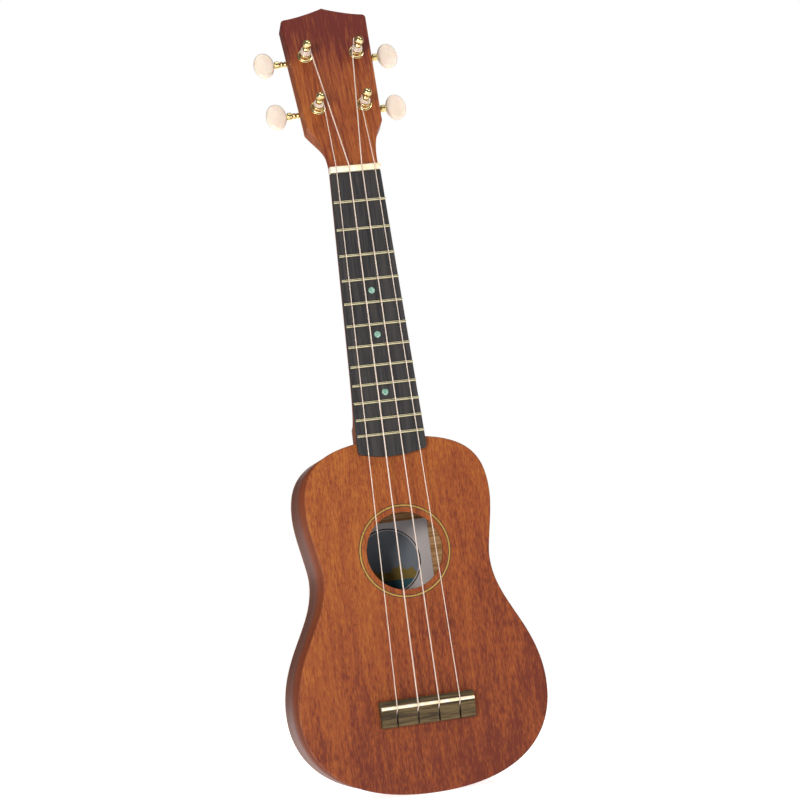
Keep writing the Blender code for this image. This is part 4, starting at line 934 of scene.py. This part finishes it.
class UKULELE_OT_rosette(Operator):
    """Lays the rosette, a gold line between two black ones"""

    bl_idname = "ukulele.rosette"
    bl_label = "Rosette"

    def execute(self, context):
        body = context.scene.ukulele_body
        tones = context.scene.ukulele_colours
        low, high = box("rosette")
        outer = (high.x - low.x) / 2
        inner = outer - body.rosette_width
        black = rosette_lacquer("black rosette lacquer", tones.rosette_black, 0.3)
        gold = rosette_lacquer("gold rosette lacquer", tones.rosette_gold, 0.25)
        gold.node_tree.nodes["Principled BSDF"].inputs["Metallic"].default_value = 0.55
        line = body.line_width
        proud, sunk = -0.04 * MM, 0.4 * MM
        place = Matrix.Translation((0, 0, hole_centre())) @ Matrix.Rotation(pi / 2, 4, "X")
        rings = (
            ("rosette_inner_line", inner, inner + line, black),
            ("rosette_gold_line", inner + line, outer - line, gold),
            ("rosette_outer_line", outer - line, outer, black),
        )
        for name, near, far, lacquer in rings:
            profile = [(near, -sunk), (far, -sunk), (far, -proud), (near, -proud), (near, -sunk)]
            bm = turned(profile, 160, place)
            piece(name, bm, lacquer, "rosette_inlay", ["rosette"])
        return {"FINISHED"}


class UKULELE_OT_inside(Operator):
    """Finishes the blocks, linings, braces and label inside the box"""

    bl_idname = "ukulele.inside"
    bl_label = "Inside"

    def execute(self, context):
        nodes = frame["nodes"]
        softwood = ["neck_block", "tail_block", "soundboard_brace_upper"]
        softwood += ["soundboard_brace_lower", "back_brace"]
        softwood += [f"lining_{a}_{b}" for a in ("front", "back") for b in ("bass", "treble")]
        finishes = {name: bare_softwood() for name in softwood}
        finishes["bridge_plate"] = brown_rosewood()
        finishes["label"] = label_paper()
        for name, material in finishes.items():
            nodes[name].data.materials.clear()
            nodes[name].data.materials.append(material)
        return {"FINISHED"}


# Neck


def board_half_at(z):
    neck = bpy.context.scene.ukulele_neck
    last = last_fret_z()
    taper = (neck.board_at_body - neck.board_at_nut) / -last
    return (neck.board_at_nut - taper * z) / 2


def last_fret_z():
    low, high = box("fret_12")
    return (low.z + high.z) / 2


# How full a cross-section's back is: 2 is an ellipse, more is squarer, less more pointed.
NECK_ROUND = 2.3
HEEL_ROUND = 1.7
ARC_STEPS = 3
SIDE_STEPS = 4
BACK_STEPS = 11


def section(half, depth, cap_half, roundness, square, radius):
    """(x, depth) round one cross-section: a flat face, then round the back.

    square runs from 0, a rounded neck, to 1, a slab with rounded edges.
    """
    radius = min(radius, half / 2)
    front = arc((half - radius, radius), radius, -90, 0, ARC_STEPS)
    slab = [(half, radius + (depth - 2 * radius) * i / SIDE_STEPS) for i in range(1, SIDE_STEPS)]
    slab += arc((half - radius, depth - radius), radius, 0, 90, ARC_STEPS)
    inner = half - radius
    slab += [(inner * (1 - i / BACK_STEPS), depth) for i in range(1, BACK_STEPS + 1)]
    side = []
    for i, (slab_x, slab_depth) in enumerate(slab, 1):
        turn = i / len(slab) * pi / 2
        x = cap_half + (half - cap_half) * max(cos(turn), 0) ** (2 / roundness)
        d = radius + (depth - radius) * sin(turn) ** (2 / roundness)
        if i == len(slab):
            x = 0
        side.append((x + (slab_x - x) * square, d + (slab_depth - d) * square))
    treble = front + side
    return treble + [(-x, d) for x, d in reversed(treble[:-1])]


def headstock_side():
    """(half width, along) up one side, from the nut over the corner to the peak."""
    neck = bpy.context.scene.ukulele_neck
    root = neck.board_at_nut / 2
    shoulder = Vector((neck.shoulder_half, neck.shoulder_along, 0))
    handle = shoulder - Vector((neck.shoulder_back, neck.shoulder_down, 0))
    throat = interpolate_bezier(
        Vector((root, 0, 0)), Vector((root, neck.shoulder_reach, 0)), handle, shoulder, 25
    )
    side = [(point.x, point.y) for point in throat[:-1]]
    slope = (neck.corner_half - neck.shoulder_half) / (neck.corner_along - neck.shoulder_along)
    turn_in, turn_up = 4 * MM * slope + 0.4 * MM, 4 * MM
    above = shoulder + Vector((turn_in, turn_up, 0))
    low_handle = shoulder + Vector((0.9 * MM, 1.4 * MM, 0))
    knuckle = interpolate_bezier(shoulder, low_handle, above - Vector((0, 1.4 * MM, 0)), above, 7)
    side += [(point.x, point.y) for point in knuckle[:-1]]
    corner = (neck.corner_half, neck.corner_along - neck.corner_radius)
    side += [
        (above.x + (corner[0] - above.x) * i / 8, above.y + (corner[1] - above.y) * i / 8)
        for i in range(8)
    ]
    centre = (neck.corner_half - neck.corner_radius, corner[1])
    side += arc(centre, neck.corner_radius, 0, 75, 5)
    last_half, last_along = side[-1]
    steps = 16
    for i in range(1, steps + 1):
        share = i / steps * 0.985
        rise = neck.peak_rise * share**1.4
        top = neck.corner_along + rise
        side.append((last_half * (1 - share), max(top, last_along)))
    return side


def neck_sections():
    """Every cross-section from inside the body to the headstock's peak, as rings of points."""
    neck = bpy.context.scene.ukulele_neck
    body_top = box("soundboard")[1].z
    heel_depth = box("back_plate")[1].y - neck.heel_short
    cap_end = body_top + neck.heel_cap_length
    rings = []
    heel = section(
        board_half_at(body_top), heel_depth, neck.heel_cap_half, HEEL_ROUND, 0, neck.neck_round
    )
    hidden = 3 * MM
    rings.append([Vector((x, d, body_top - hidden)) for x, d in heel])
    curve_steps = 22
    slope = (neck.depth_at_heel - neck.depth_at_nut) / -(last_fret_z() + neck.heel_curve)
    for step in range(curve_steps + 1):
        turn = pi / 2 * (1 - step / curve_steps)
        z = cap_end + neck.heel_curve * (1 - sin(turn))
        depth_here = neck.depth_at_nut - slope * z
        share = 1 - cos(turn)
        depth = depth_here + (heel_depth - depth_here) * share
        roundness = NECK_ROUND + (HEEL_ROUND - NECK_ROUND) * share
        ring = section(
            board_half_at(z), depth, neck.heel_cap_half * share, roundness, 0, neck.neck_round
        )
        rings.append([Vector((x, d, z)) for x, d in ring])
    start = cap_end + neck.heel_curve
    for step in range(1, 9):
        z = start * (1 - step / 8)
        depth = neck.depth_at_nut - slope * z
        ring = section(board_half_at(z), depth, 0, NECK_ROUND, 0, neck.neck_round)
        rings.append([Vector((x, d, z)) for x, d in ring])
    root = Matrix.Translation((0, 0, neck.nut_length))
    for half, along in headstock_side():
        square = min(max(along - neck.square_from, 0) / neck.square_run, 1)
        square = square * square * (3 - 2 * square)
        depth = neck.depth_at_nut + (neck.head_thickness - neck.depth_at_nut) * square
        radius = neck.neck_round + (neck.head_round - neck.neck_round) * square
        lean = 0.5 if along == 0 else 1
        place = root @ Matrix.Rotation(pi / 2 - neck.tilt * lean, 4, "X")
        ring = section(half, depth, 0, NECK_ROUND, square, radius)
        rings.append([place @ Vector((x, along, -d)) for x, d in ring])
    return rings


class UKULELE_OT_neck(Operator):
    """Shapes the heel, neck and headstock from one length of wood"""

    bl_idname = "ukulele.neck"
    bl_label = "Neck"

    def execute(self, context):
        bm = bmesh.new()
        loops = [closed_loop(bm, ring) for ring in neck_sections()]
        for lower, upper in zip(loops, loops[1:]):
            bmesh.ops.bridge_loops(bm, edges=lower + upper)
        for end in (loops[0], loops[-1]):
            bmesh.ops.contextual_create(bm, geom=end)
        piece("neck_wood", bm, neck_mahogany(), "neck_mahogany", ["neck"])
        return {"FINISHED"}


class UKULELE_OT_fretboard(Operator):
    """Makes the fretboard with its blunt end and its shell dots"""

    bl_idname = "ukulele.fretboard"
    bl_label = "Fretboard"

    def execute(self, context):
        neck = context.scene.ukulele_neck
        top = box("fretboard")[0].y
        end = last_fret_z() - neck.board_past_fret
        half = board_half_at(end)
        radius = neck.board_corner
        side = [(neck.board_at_nut / 2, 0)]
        side += arc((half - radius, end + radius), radius, 0, -75, 6)
        reach = half - radius
        for step in range(1, 11):
            share = step / 10
            side.append((reach * (1 - share), end - neck.board_bulge * (1 - (1 - share) ** 2)))
        outline = side + [(-x, z) for x, z in reversed(side) if x > 0]
        bm = prism([Vector((x, 0, z)) for x, z in outline], (0, top, 0))
        round_off(bm, neck.board_round, 3, where=lambda e: stands_at(e, 1, top))
        piece("fretboard_wood", bm, dark_rosewood(), "fretboard_rosewood", ["fretboard"])
        for space in (5, 7, 10):
            node = f"position_dot_{space}"
            low, high = box(node)
            dot_radius = (high.x - low.x) / 2
            centre = Vector(((low.x + high.x) / 2, top, (low.z + high.z) / 2))
            proud = 0.03 * MM
            profile = [(0, proud), (dot_radius - 2 * proud, proud), (dot_radius, 0)]
            profile += [(dot_radius, -0.6 * MM), (0, -0.6 * MM)]
            place = Matrix.Translation(centre) @ Matrix.Rotation(pi / 2, 4, "X")
            bm = turned(profile, 40, place)
            piece(f"shell_dot_{space}", bm, shell(), "abalone", [node])
        return {"FINISHED"}


class UKULELE_OT_frets(Operator):
    """Makes the frets with round crowns and filed ends"""

    bl_idname = "ukulele.frets"
    bl_label = "Frets"

    def execute(self, context):
        neck = context.scene.ukulele_neck
        board_top = box("fretboard")[0].y
        for number in range(1, 13):
            node = f"fret_{number:02d}"
            low, high = box(node)
            middle = (low.z + high.z) / 2
            half = (high.z - low.z) / 2
            rise = board_top - low.y
            crown = arc((0, 0), 1, 0, 180, 14)
            points = [Vector((low.x, board_top - rise * s, middle + half * c)) for c, s in crown]
            seat = 0.3 * MM
            points += [
                Vector((low.x, board_top + seat, middle - half * 0.3)),
                Vector((low.x, board_top + seat, middle + half * 0.3)),
            ]
            bm = prism(points, (high.x - low.x, 0, 0))
            ends = (low.x, high.x)

            def at_end(edge):
                above = all(vert.co.y < board_top - 0.05 * MM for vert in edge.verts)
                return above and any(stands_at(edge, 0, end) for end in ends)

            round_off(bm, neck.fret_round, 3, where=at_end)
            piece(f"{node}_crown", bm, fret_wire(), "fret_wire", [node])
        return {"FINISHED"}


class UKULELE_OT_nut(Operator):
    """Makes the nut with its four slots"""

    bl_idname = "ukulele.nut"
    bl_label = "Nut"

    def execute(self, context):
        bm = merged("nut")
        round_off(bm, 0.18 * MM, 2)
        piece("nut_bone", bm, imitation_bone(), "bone", ["nut"])
        return {"FINISHED"}


class UKULELE_OT_bridge(Operator):
    """Makes the bridge with its tie slots, and the saddle in it"""

    bl_idname = "ukulele.bridge"
    bl_label = "Bridge and saddle"

    def execute(self, context):
        strings, bridge = context.scene.ukulele_strings, context.scene.ukulele_bridge
        low, high = box("bridge")
        chamfer, knee = bridge.chamfer, low.z + bridge.knee_run
        slot_start = box("saddle")[0].z - bridge.slot_gap
        section = [(0, high.z), (low.y + chamfer, high.z), (low.y, high.z - chamfer)]
        section += [(low.y, knee), (high.y - bridge.rear_height, low.z), (0, low.z)]
        bm = prism([Vector((low.x, y, z)) for y, z in section], (high.x - low.x, 0, 0))
        cuts = bmesh.new()
        for index in range(len(STRINGS)):
            x = string_x(index, strings.saddle_span)
            near = Vector((x - bridge.slot_width / 2, low.y - 1 * MM, low.z - 1 * MM))
            far = Vector((x + bridge.slot_width / 2, high.y - bridge.slot_floor, slot_start))
            made = bmesh.ops.create_cube(cuts, size=1)["verts"]
            bmesh.ops.scale(cuts, verts=made, vec=far - near)
            bmesh.ops.translate(cuts, verts=made, vec=(near + far) / 2)
        bm = cut_away(bm, cuts)
        round_off(bm, bridge.edge_round, 3)
        piece("bridge_wood", bm, brown_rosewood(), "bridge_rosewood", ["bridge"])
        bm = merged("saddle")
        round_off(bm, 0.25 * MM, 3, angle=25)
        piece("saddle_bone", bm, imitation_bone(), "bone", ["saddle"])
        return {"FINISHED"}


# Strings


def post_place(name):
    """The frame of a tuner's post: +X treble, +Y up the headstock, +Z out of its face."""
    joint = JOINTS[f"tuner_{name}_wind"]
    out = Vector(joint["axis"]).normalized()
    right = Vector((1, 0, 0))
    up = out.cross(right)
    made = Matrix((right, up, out)).transposed().to_4x4()
    made.translation = Vector(joint["pos_m"])
    return made


def shaft_place(name):
    made = post_place(name)
    made.translation = Vector(JOINTS[f"tuner_{name}_turn"]["pos_m"])
    return made


def string_radius(index):
    return getattr(bpy.context.scene.ukulele_strings, f"radius_{STRINGS[index]}")


def string_x(index, span):
    return span * (index / (len(STRINGS) - 1) - 0.5)


def string_y(index, z):
    strings = bpy.context.scene.ukulele_strings
    fret_top = box("fret_12")[0].y
    at_nut = fret_top - strings.first_action
    at_twelfth = fret_top - strings.twelfth_action
    return at_nut + (at_twelfth - at_nut) * z / last_fret_z() - string_radius(index)


def string_route(index):
    """The cut tail and the wraps on the post, over the nut and saddle, into the tie slot."""
    scene = bpy.context.scene
    neck, bridge = scene.ukulele_neck, scene.ukulele_bridge
    strings, tuners = scene.ukulele_strings, scene.ukulele_tuners
    name = STRINGS[index]
    post = post_place(name)
    tight = tuners.waist_radius + 0.3 * MM + string_radius(index)
    radius = tight + strings.wrap_swell
    away = post.inverted() @ Vector((string_x(index, strings.nut_span), 0, neck.nut_length))
    side = -1 if post.translation.x < 0 else 1
    flat = Vector((away.x, away.y))
    turn = atan2(flat.y, flat.x) - side * acos(radius / flat.length)
    pitch = 2 * string_radius(index) + 0.1 * MM
    steps = 28 * strings.wrap_turns
    points = []
    # The tail leaves the top wrap along its tangent and lifts a little.
    top = strings.wrap_height - 1.2 * MM + pitch * strings.wrap_turns
    first = turn - side * strings.wrap_turns * 2 * pi
    tangent = Vector((sin(first), -cos(first), 0)) * side
    start = Vector((tight * cos(first), tight * sin(first), top))
    tail = strings.tail * (1 if name in "ge" else 0.45)
    for share in (1, 0.66, 0.33):
        lift = Vector((0, 0, 0.3 * tail * share * share))
        points.append(post @ (start + tangent * tail * share + lift))
    for step in range(steps + 1):
        left = strings.wrap_turns * (steps - step) / steps
        angle = turn - side * left * 2 * pi
        reach = radius - strings.wrap_swell * left / strings.wrap_turns
        height = strings.wrap_height - 1.2 * MM + pitch * left
        points.append(post @ Vector((reach * cos(angle), reach * sin(angle), height)))
    nut_x = string_x(index, strings.nut_span)
    points.append(Vector((nut_x, string_y(index, 0), neck.nut_length)))
    points.append(Vector((nut_x, string_y(index, 0), 0)))
    low, high = box("saddle")
    saddle = (low.z + high.z) / 2
    end_x = string_x(index, strings.saddle_span)
    half = (high.z - low.z) / 2
    crest = Vector((end_x, string_y(index, saddle), saddle))
    points.append(crest + Vector((0, 0, half)))
    points.append(crest + Vector((0, 0.05 * MM, 0)))
    points.append(crest + Vector((0, 0.2 * MM, -half)))
    # Behind the saddle it bends down into its slot and lies along the floor of that.
    start = low.z - bridge.slot_gap
    low, high = box("bridge")
    floor = high.y - bridge.slot_floor - string_radius(index) - 0.1 * MM
    points.append(Vector((end_x, low.y + 0.2 * MM, start - 1.2 * MM)))
    points.append(Vector((end_x, (low.y + floor) / 2, start - 3 * MM)))
    points += [Vector((end_x, floor, low.z + rise)) for rise in (3 * MM, 0.5 * MM)]
    return points


class UKULELE_OT_strings(Operator):
    """Strings the instrument, from the wraps on the posts to the slots in the bridge"""

    bl_idname = "ukulele.strings"
    bl_label = "Strings"

    def execute(self, context):
        for index, name in enumerate(STRINGS):
            wire(
                f"nylon_string_{name}",
                string_route(index),
                string_radius(index),
                clear_nylon(),
                "string_nylon",
                f"string_{name}",
            )
        return {"FINISHED"}


# Tuning machines


def gilded(name, bm, nodes=(), body="instrument"):
    """A gold-plated piece of a tuning machine."""
    return piece(name, bm, gold_plate(), "gold_plate", nodes, body)


class UKULELE_OT_posts(Operator):
    """Turns the string posts, each with its ball tip and the gear on its foot"""

    bl_idname = "ukulele.posts"
    bl_label = "String posts"

    def execute(self, context):
        tuners = context.scene.ukulele_tuners
        post, waist, ball = tuners.post_radius, tuners.waist_radius, tuners.ball_radius
        # The small steps of the turning: broken edges, tapers, and the throat under the ball.
        nick, edge, foot_edge, taper = 0.1 * MM, 0.2 * MM, 0.3 * MM, 0.6 * MM
        rim, throat, throat_length = 0.5 * MM, 1.7 * MM, 1.6 * MM
        foot = -tuners.gear_level - tuners.gear_thickness / 2 - 1 * MM
        grip = tuners.bushing_height + taper
        top = tuners.ball_height - ball - throat_length
        profile = [(0, foot), (post - foot_edge, foot), (post, foot + foot_edge)]
        profile += [(post, grip - edge), (post - nick, grip), (waist, grip + taper)]
        profile += [(waist, top - taper), (post - nick, top - nick), (post, top)]
        profile += [(post, top + rim), (post - edge, top + rim + edge)]
        profile += [(throat, top + throat_length - rim), (throat, top + throat_length - foot_edge)]
        profile += arc((0, tuners.ball_height), ball, -54, 80, 14)
        profile += [(0, tuners.ball_height + ball)]
        teeth, root, crest = 14, -0.6 * MM, 0.38 * MM
        # Round one tooth: its rise over the pitch circle and its share of the pitch.
        tooth_shape = ((root, -0.17), (crest, -0.05), (crest, 0.05), (root, 0.17))
        for name in STRINGS:
            place = post_place(name)
            bm = turned(profile, 48, place)
            body = f"tuner_{name}_winder"
            nodes = [f"tuner_{name}_post"]
            gilded(f"post_{name}_turned", bm, nodes, body)
            outline = []
            for tooth in range(teeth):
                middle = pi / 2 + 2 * pi * tooth / teeth
                pitch = 2 * pi / teeth
                for rise, share in tooth_shape:
                    reach = tuners.gear_radius + rise
                    turn = middle + share * pitch
                    outline.append((reach * cos(turn), reach * sin(turn), 0))
            low = Vector((0, 0, -tuners.gear_level - tuners.gear_thickness / 2))
            rim = [Vector(point) + low for point in outline]
            bm = prism(rim, (0, 0, tuners.gear_thickness))
            round_off(bm, 0.08 * MM, 1)
            bmesh.ops.transform(bm, matrix=place, verts=bm.verts)
            gilded(f"post_{name}_gear", bm, nodes, body)
        return {"FINISHED"}


class UKULELE_OT_bushings(Operator):
    """Turns the flared bushings pressed into the headstock"""

    bl_idname = "ukulele.bushings"
    bl_label = "Bushings"

    def execute(self, context):
        tuners = context.scene.ukulele_tuners
        bore = tuners.post_radius + 0.1 * MM
        flange, neck, height = tuners.flange_radius, tuners.bushing_neck, tuners.bushing_height
        profile = [(bore, -6 * MM), (3.7 * MM, -6 * MM), (3.7 * MM, 0), (flange, 0)]
        profile += arc((flange - 0.45 * MM, 0.55 * MM), 0.45 * MM, -10, 80, 6)
        sweep = interpolate_bezier(
            Vector((flange - 0.9 * MM, 1.15 * MM, 0)),
            Vector((neck + 0.4 * MM, 1.5 * MM, 0)),
            Vector((neck + 0.15 * MM, height - 2.4 * MM, 0)),
            Vector((neck + 0.3 * MM, height - 1.0 * MM, 0)),
            10,
        )
        profile += [(point.x, point.y) for point in sweep]
        profile += arc((neck - 0.1 * MM, height - 0.4 * MM), 0.4 * MM, 10, 90, 5)
        profile += [(bore, height), (bore, -6 * MM)]
        for name in STRINGS:
            bm = turned(profile, 48, post_place(name))
            gilded(f"bushing_{name}_flared", bm, [f"tuner_{name}_bushing"])
        return {"FINISHED"}


class UKULELE_OT_plates(Operator):
    """Presses the plates behind the headstock and drives their screws"""

    bl_idname = "ukulele.plates"
    bl_label = "Plates and screws"

    def execute(self, context):
        tuners = context.scene.ukulele_tuners
        head = context.scene.ukulele_neck.head_thickness
        for name in STRINGS:
            node = f"tuner_{name}_plate"
            bm = merged(node)
            round_off(bm, 0.15 * MM, 2)
            gilded(f"plate_{name}_pressed", bm, [node])
            place = post_place(name)
            radius = tuners.screw_radius
            heads = bmesh.new()
            back = -head - 1.25 * MM
            for along in (-7 * MM, 13.2 * MM):
                middle = place @ Matrix.Translation((0, along, back)) @ Matrix.Rotation(pi, 4, "X")
                crown = [(0, 0.75 * MM), (radius * 0.35, 0.72 * MM), (radius * 0.7, 0.55 * MM)]
                crown += [(radius * 0.93, 0.28 * MM), (radius, 0), (0, 0)]
                screw = turned(crown, 28)
                slot = 0.22 * MM
                for vert in screw.verts:
                    if abs(vert.co.x) < slot and vert.co.z > 0.3 * MM:
                        vert.co.z = 0.35 * MM
                bmesh.ops.transform(screw, matrix=middle, verts=screw.verts)
                mesh = bpy.data.meshes.new("screw")
                screw.to_mesh(mesh)
                screw.free()
                heads.from_mesh(mesh)
                bpy.data.meshes.remove(mesh)
            gilded(f"plate_{name}_screws", heads)
        return {"FINISHED"}


class UKULELE_OT_shafts(Operator):
    """Turns the worm shafts with their beads and collars"""

    bl_idname = "ukulele.shafts"
    bl_label = "Worm shafts"

    def execute(self, context):
        tuners = context.scene.ukulele_tuners
        shaft, bead, collar = tuners.shaft_radius, tuners.bead_radius, tuners.collar_radius
        worm = tuners.worm_length / 2
        for name in STRINGS:
            node = f"tuner_{name}_shaft"
            low, high = box(node)
            axis = shaft_place(name)
            side = -1 if axis.translation.x < 0 else 1
            ends = sorted((low.x - axis.translation.x, high.x - axis.translation.x))
            tail, end = (ends[0], ends[1]) if side > 0 else (-ends[1], -ends[0])
            held_in_button = 3 * MM
            start = end - held_in_button
            profile = [(0, tail), (shaft - 0.2 * MM, tail), (shaft, tail + 0.2 * MM)]
            profile += [(shaft, start - 8.9 * MM)]
            for middle in (start - 7.65 * MM, start - 4.95 * MM):
                swell = bead - shaft
                for degrees in range(165, 14, -15):
                    t = radians(degrees)
                    profile.append((shaft + swell * sin(t), middle + 1.2 * MM * cos(t)))
            first = start - 3.4 * MM
            profile += [(shaft, first), (collar - 0.4 * MM, first + 0.15 * MM)]
            profile += [(collar, first + 0.6 * MM), (collar, start - 0.5 * MM)]
            profile += [(collar - 0.25 * MM, start - 0.1 * MM), (shaft, start - 0.1 * MM)]
            profile += [(shaft, end), (0, end)]
            turn = Matrix.Rotation(side * pi / 2, 4, "Y")
            bm = turned(profile, 40, axis @ turn)
            body = f"tuner_{name}_knob"
            gilded(f"shaft_{name}_turned", bm, [node], body)
            bm = worm_thread(worm, tuners.worm_radius, axis)
            gilded(f"shaft_{name}_worm", bm, [node], body)
        return {"FINISHED"}


def worm_thread(half, outer, axis):
    """A thread's section carried round and along the shaft."""
    pitch = 0.63 * MM * pi
    root = outer - 0.98 * MM
    turns = 2 * half / pitch - 0.4
    bm = bmesh.new()
    start = -half + 0.2 * pitch
    corners = ((root - 0.2 * MM, -0.3), (outer, -0.08), (outer, 0.08), (root - 0.2 * MM, 0.3))
    verts = [bm.verts.new((start + share * pitch, 0, radius)) for radius, share in corners]
    edges = [bm.edges.new(pair) for pair in zip(verts, verts[1:] + verts[:1])]
    steps = round(turns * 24)
    bmesh.ops.contextual_create(bm, geom=edges)
    faces = bm.faces[:]
    bmesh.ops.spin(
        bm,
        geom=faces,
        cent=(0, 0, 0),
        axis=(1, 0, 0),
        dvec=(turns * pitch / steps, 0, 0),
        angle=-turns * 2 * pi,
        steps=steps,
        use_merge=False,
    )
    bmesh.ops.transform(bm, matrix=axis, verts=bm.verts)
    return bm


class UKULELE_OT_buttons(Operator):
    """Moulds the oval buttons"""

    bl_idname = "ukulele.buttons"
    bl_label = "Buttons"

    def execute(self, context):
        tuners = context.scene.ukulele_tuners
        thick = tuners.button_thickness / 2
        tall = tuners.button_height / 2
        for name in STRINGS:
            node = f"tuner_{name}_button"
            low, high = box(node)
            wide = (high.x - low.x) / 2
            axis = shaft_place(name)
            middle = Vector(((low.x + high.x) / 2 - axis.translation.x, 0, 0))
            # The faces dish very slightly, then roll over a full round edge.
            round_rim = 1.5 * MM / wide
            profile = [(0, thick - 0.12 * MM), (0.5, thick - 0.06 * MM)]
            for degrees in range(90, -91, -15):
                t = radians(degrees)
                profile.append((1 - round_rim + round_rim * cos(t), thick * sin(t)))
            profile += [(0.5, -thick + 0.06 * MM), (0, -thick + 0.12 * MM)]
            bm = turned(profile, 56)
            bmesh.ops.scale(bm, verts=bm.verts, vec=(wide, tall, 1))
            bmesh.ops.translate(bm, verts=bm.verts, vec=middle)
            bmesh.ops.transform(bm, matrix=axis, verts=bm.verts)
            piece(
                f"button_{name}_oval",
                bm,
                pearl_plastic(),
                "button_plastic",
                [node],
                f"tuner_{name}_knob",
                smooth=60,
            )
        return {"FINISHED"}


# Stage

CAMERA_PLACE = Vector((-0.29492, -1.44730, -0.30311))
CAMERA_RIGHT = Vector((0.97252, -0.19123, -0.13279))
CAMERA_DOWN = Vector((-0.11005, 0.12502, -0.98603))
CAMERA_AHEAD = Vector((0.20516, 0.97355, 0.10054))


# Each soft light's name, place, width in metres, power in watts and tone.
LIGHTS = (
    ("key", (-0.75, -1.35, -0.05), 0.32, 13.7, "#FFF6EC"),
    ("fill", (0.9, -0.9, 0.8), 0.45, 5.3, "#FFFFFF"),
    ("top", (0.1, -0.5, 1.5), 1.0, 5.3, "#FFFFFF"),
    ("rear", (0.6, 1.8, 0.4), 1.4, 8, "#FFFFFF"),
)
LIGHTS_AIM = Vector((0, 0, -0.2))


def soft_light(name, place, size, power, tone):
    lamp = bpy.data.lights.new(name, "AREA")
    lamp.shape = "DISK"
    lamp.size = size
    lamp.energy = power
    lamp.color = linear(tone)[:3]
    made = bpy.data.objects.new(name, lamp)
    made.location = place
    made.rotation_euler = (LIGHTS_AIM - Vector(place)).to_track_quat("-Z", "Y").to_euler()
    bpy.context.scene.collection.objects.link(made)


class UKULELE_OT_stage(Operator):
    """Sets the floor, the soft lights and the camera"""

    bl_idname = "ukulele.stage"
    bl_label = "Stage"

    def execute(self, context):
        scene = context.scene
        floor = scene.ukulele_colours.floor
        low, _ = CAD_BOX
        bm = bmesh.new()
        bmesh.ops.create_circle(bm, cap_ends=True, segments=96, radius=6)
        bmesh.ops.translate(bm, verts=bm.verts, vec=(0, 0, low[2] - 0.2 * MM))
        mesh = bpy.data.meshes.new("studio_floor")
        bm.to_mesh(mesh)
        bm.free()
        paint, _, _ = start_finish(
            "pale studio floor",
            Base_Color=floor,
            Roughness=0.9,
            Emission_Color=floor,
            Emission_Strength=0.95,
        )
        mesh.materials.append(paint)
        ground = bpy.data.objects.new("studio_floor", mesh)
        scene.collection.objects.link(ground)

        world = bpy.data.worlds.new("white studio")
        world.use_nodes = True
        tree = world.node_tree
        tree.nodes.clear()
        seen = add(tree, "ShaderNodeLightPath").outputs["Is Camera Ray"]
        strength = between(tree, seen, 0, 1, 0.18, 1.0)
        white = linear("#FFFFFF")
        sky = add(tree, "ShaderNodeBackground", {"Color": white, "Strength": strength})
        add(tree, "ShaderNodeOutputWorld", {0: sky.outputs[0]})
        scene.world = world

        for light in LIGHTS:
            soft_light(*light)

        scene.view_settings.view_transform = "Standard"
        camera = bpy.data.objects.new("camera", bpy.data.cameras.new("camera"))
        camera.data.lens = 101.82
        camera.data.sensor_width = 36
        camera.data.clip_end = 20
        turn = Matrix((CAMERA_RIGHT, -CAMERA_DOWN, -CAMERA_AHEAD)).transposed()
        camera.matrix_world = Matrix.Translation(CAMERA_PLACE) @ turn.to_4x4()
        scene.collection.objects.link(camera)
        scene.camera = camera
        return {"FINISHED"}


OPERATORS = (
    UKULELE_OT_soundboard,
    UKULELE_OT_back,
    UKULELE_OT_sides,
    UKULELE_OT_rosette,
    UKULELE_OT_inside,
    UKULELE_OT_neck,
    UKULELE_OT_fretboard,
    UKULELE_OT_frets,
    UKULELE_OT_nut,
    UKULELE_OT_bridge,
    UKULELE_OT_strings,
    UKULELE_OT_posts,
    UKULELE_OT_bushings,
    UKULELE_OT_plates,
    UKULELE_OT_shafts,
    UKULELE_OT_buttons,
    UKULELE_OT_stage,
)
GROUPS = {
    "ukulele_body": UkuleleBody,
    "ukulele_neck": UkuleleNeck,
    "ukulele_bridge": UkuleleBridge,
    "ukulele_strings": UkuleleStrings,
    "ukulele_tuners": UkuleleTuners,
    "ukulele_colours": UkuleleColours,
}


class UKULELE_PT_pieces(Panel):
    """Lists the ukulele's pieces in the order that they are made"""

    bl_idname = "UKULELE_PT_pieces"
    bl_label = "Soprano ukulele"
    bl_space_type = "VIEW_3D"
    bl_region_type = "UI"
    bl_category = "Ukulele"

    def draw(self, context):
        for operator in OPERATORS:
            self.layout.operator(operator.bl_idname)


def register():
    for group in GROUPS.values():
        bpy.utils.register_class(group)
    for name, group in GROUPS.items():
        setattr(bpy.types.Scene, name, PointerProperty(type=group))
    for operator in OPERATORS:
        bpy.utils.register_class(operator)
    bpy.utils.register_class(UKULELE_PT_pieces)


def unregister():
    bpy.utils.unregister_class(UKULELE_PT_pieces)
    for operator in reversed(OPERATORS):
        bpy.utils.unregister_class(operator)
    for name in GROUPS:
        delattr(bpy.types.Scene, name)
    for group in GROUPS.values():
        bpy.utils.unregister_class(group)


def main():
    register()
    for operator in OPERATORS:
        module, call = operator.bl_idname.split(".")
        getattr(getattr(bpy.ops, module), call)()


if __name__ == "__main__":
    main()
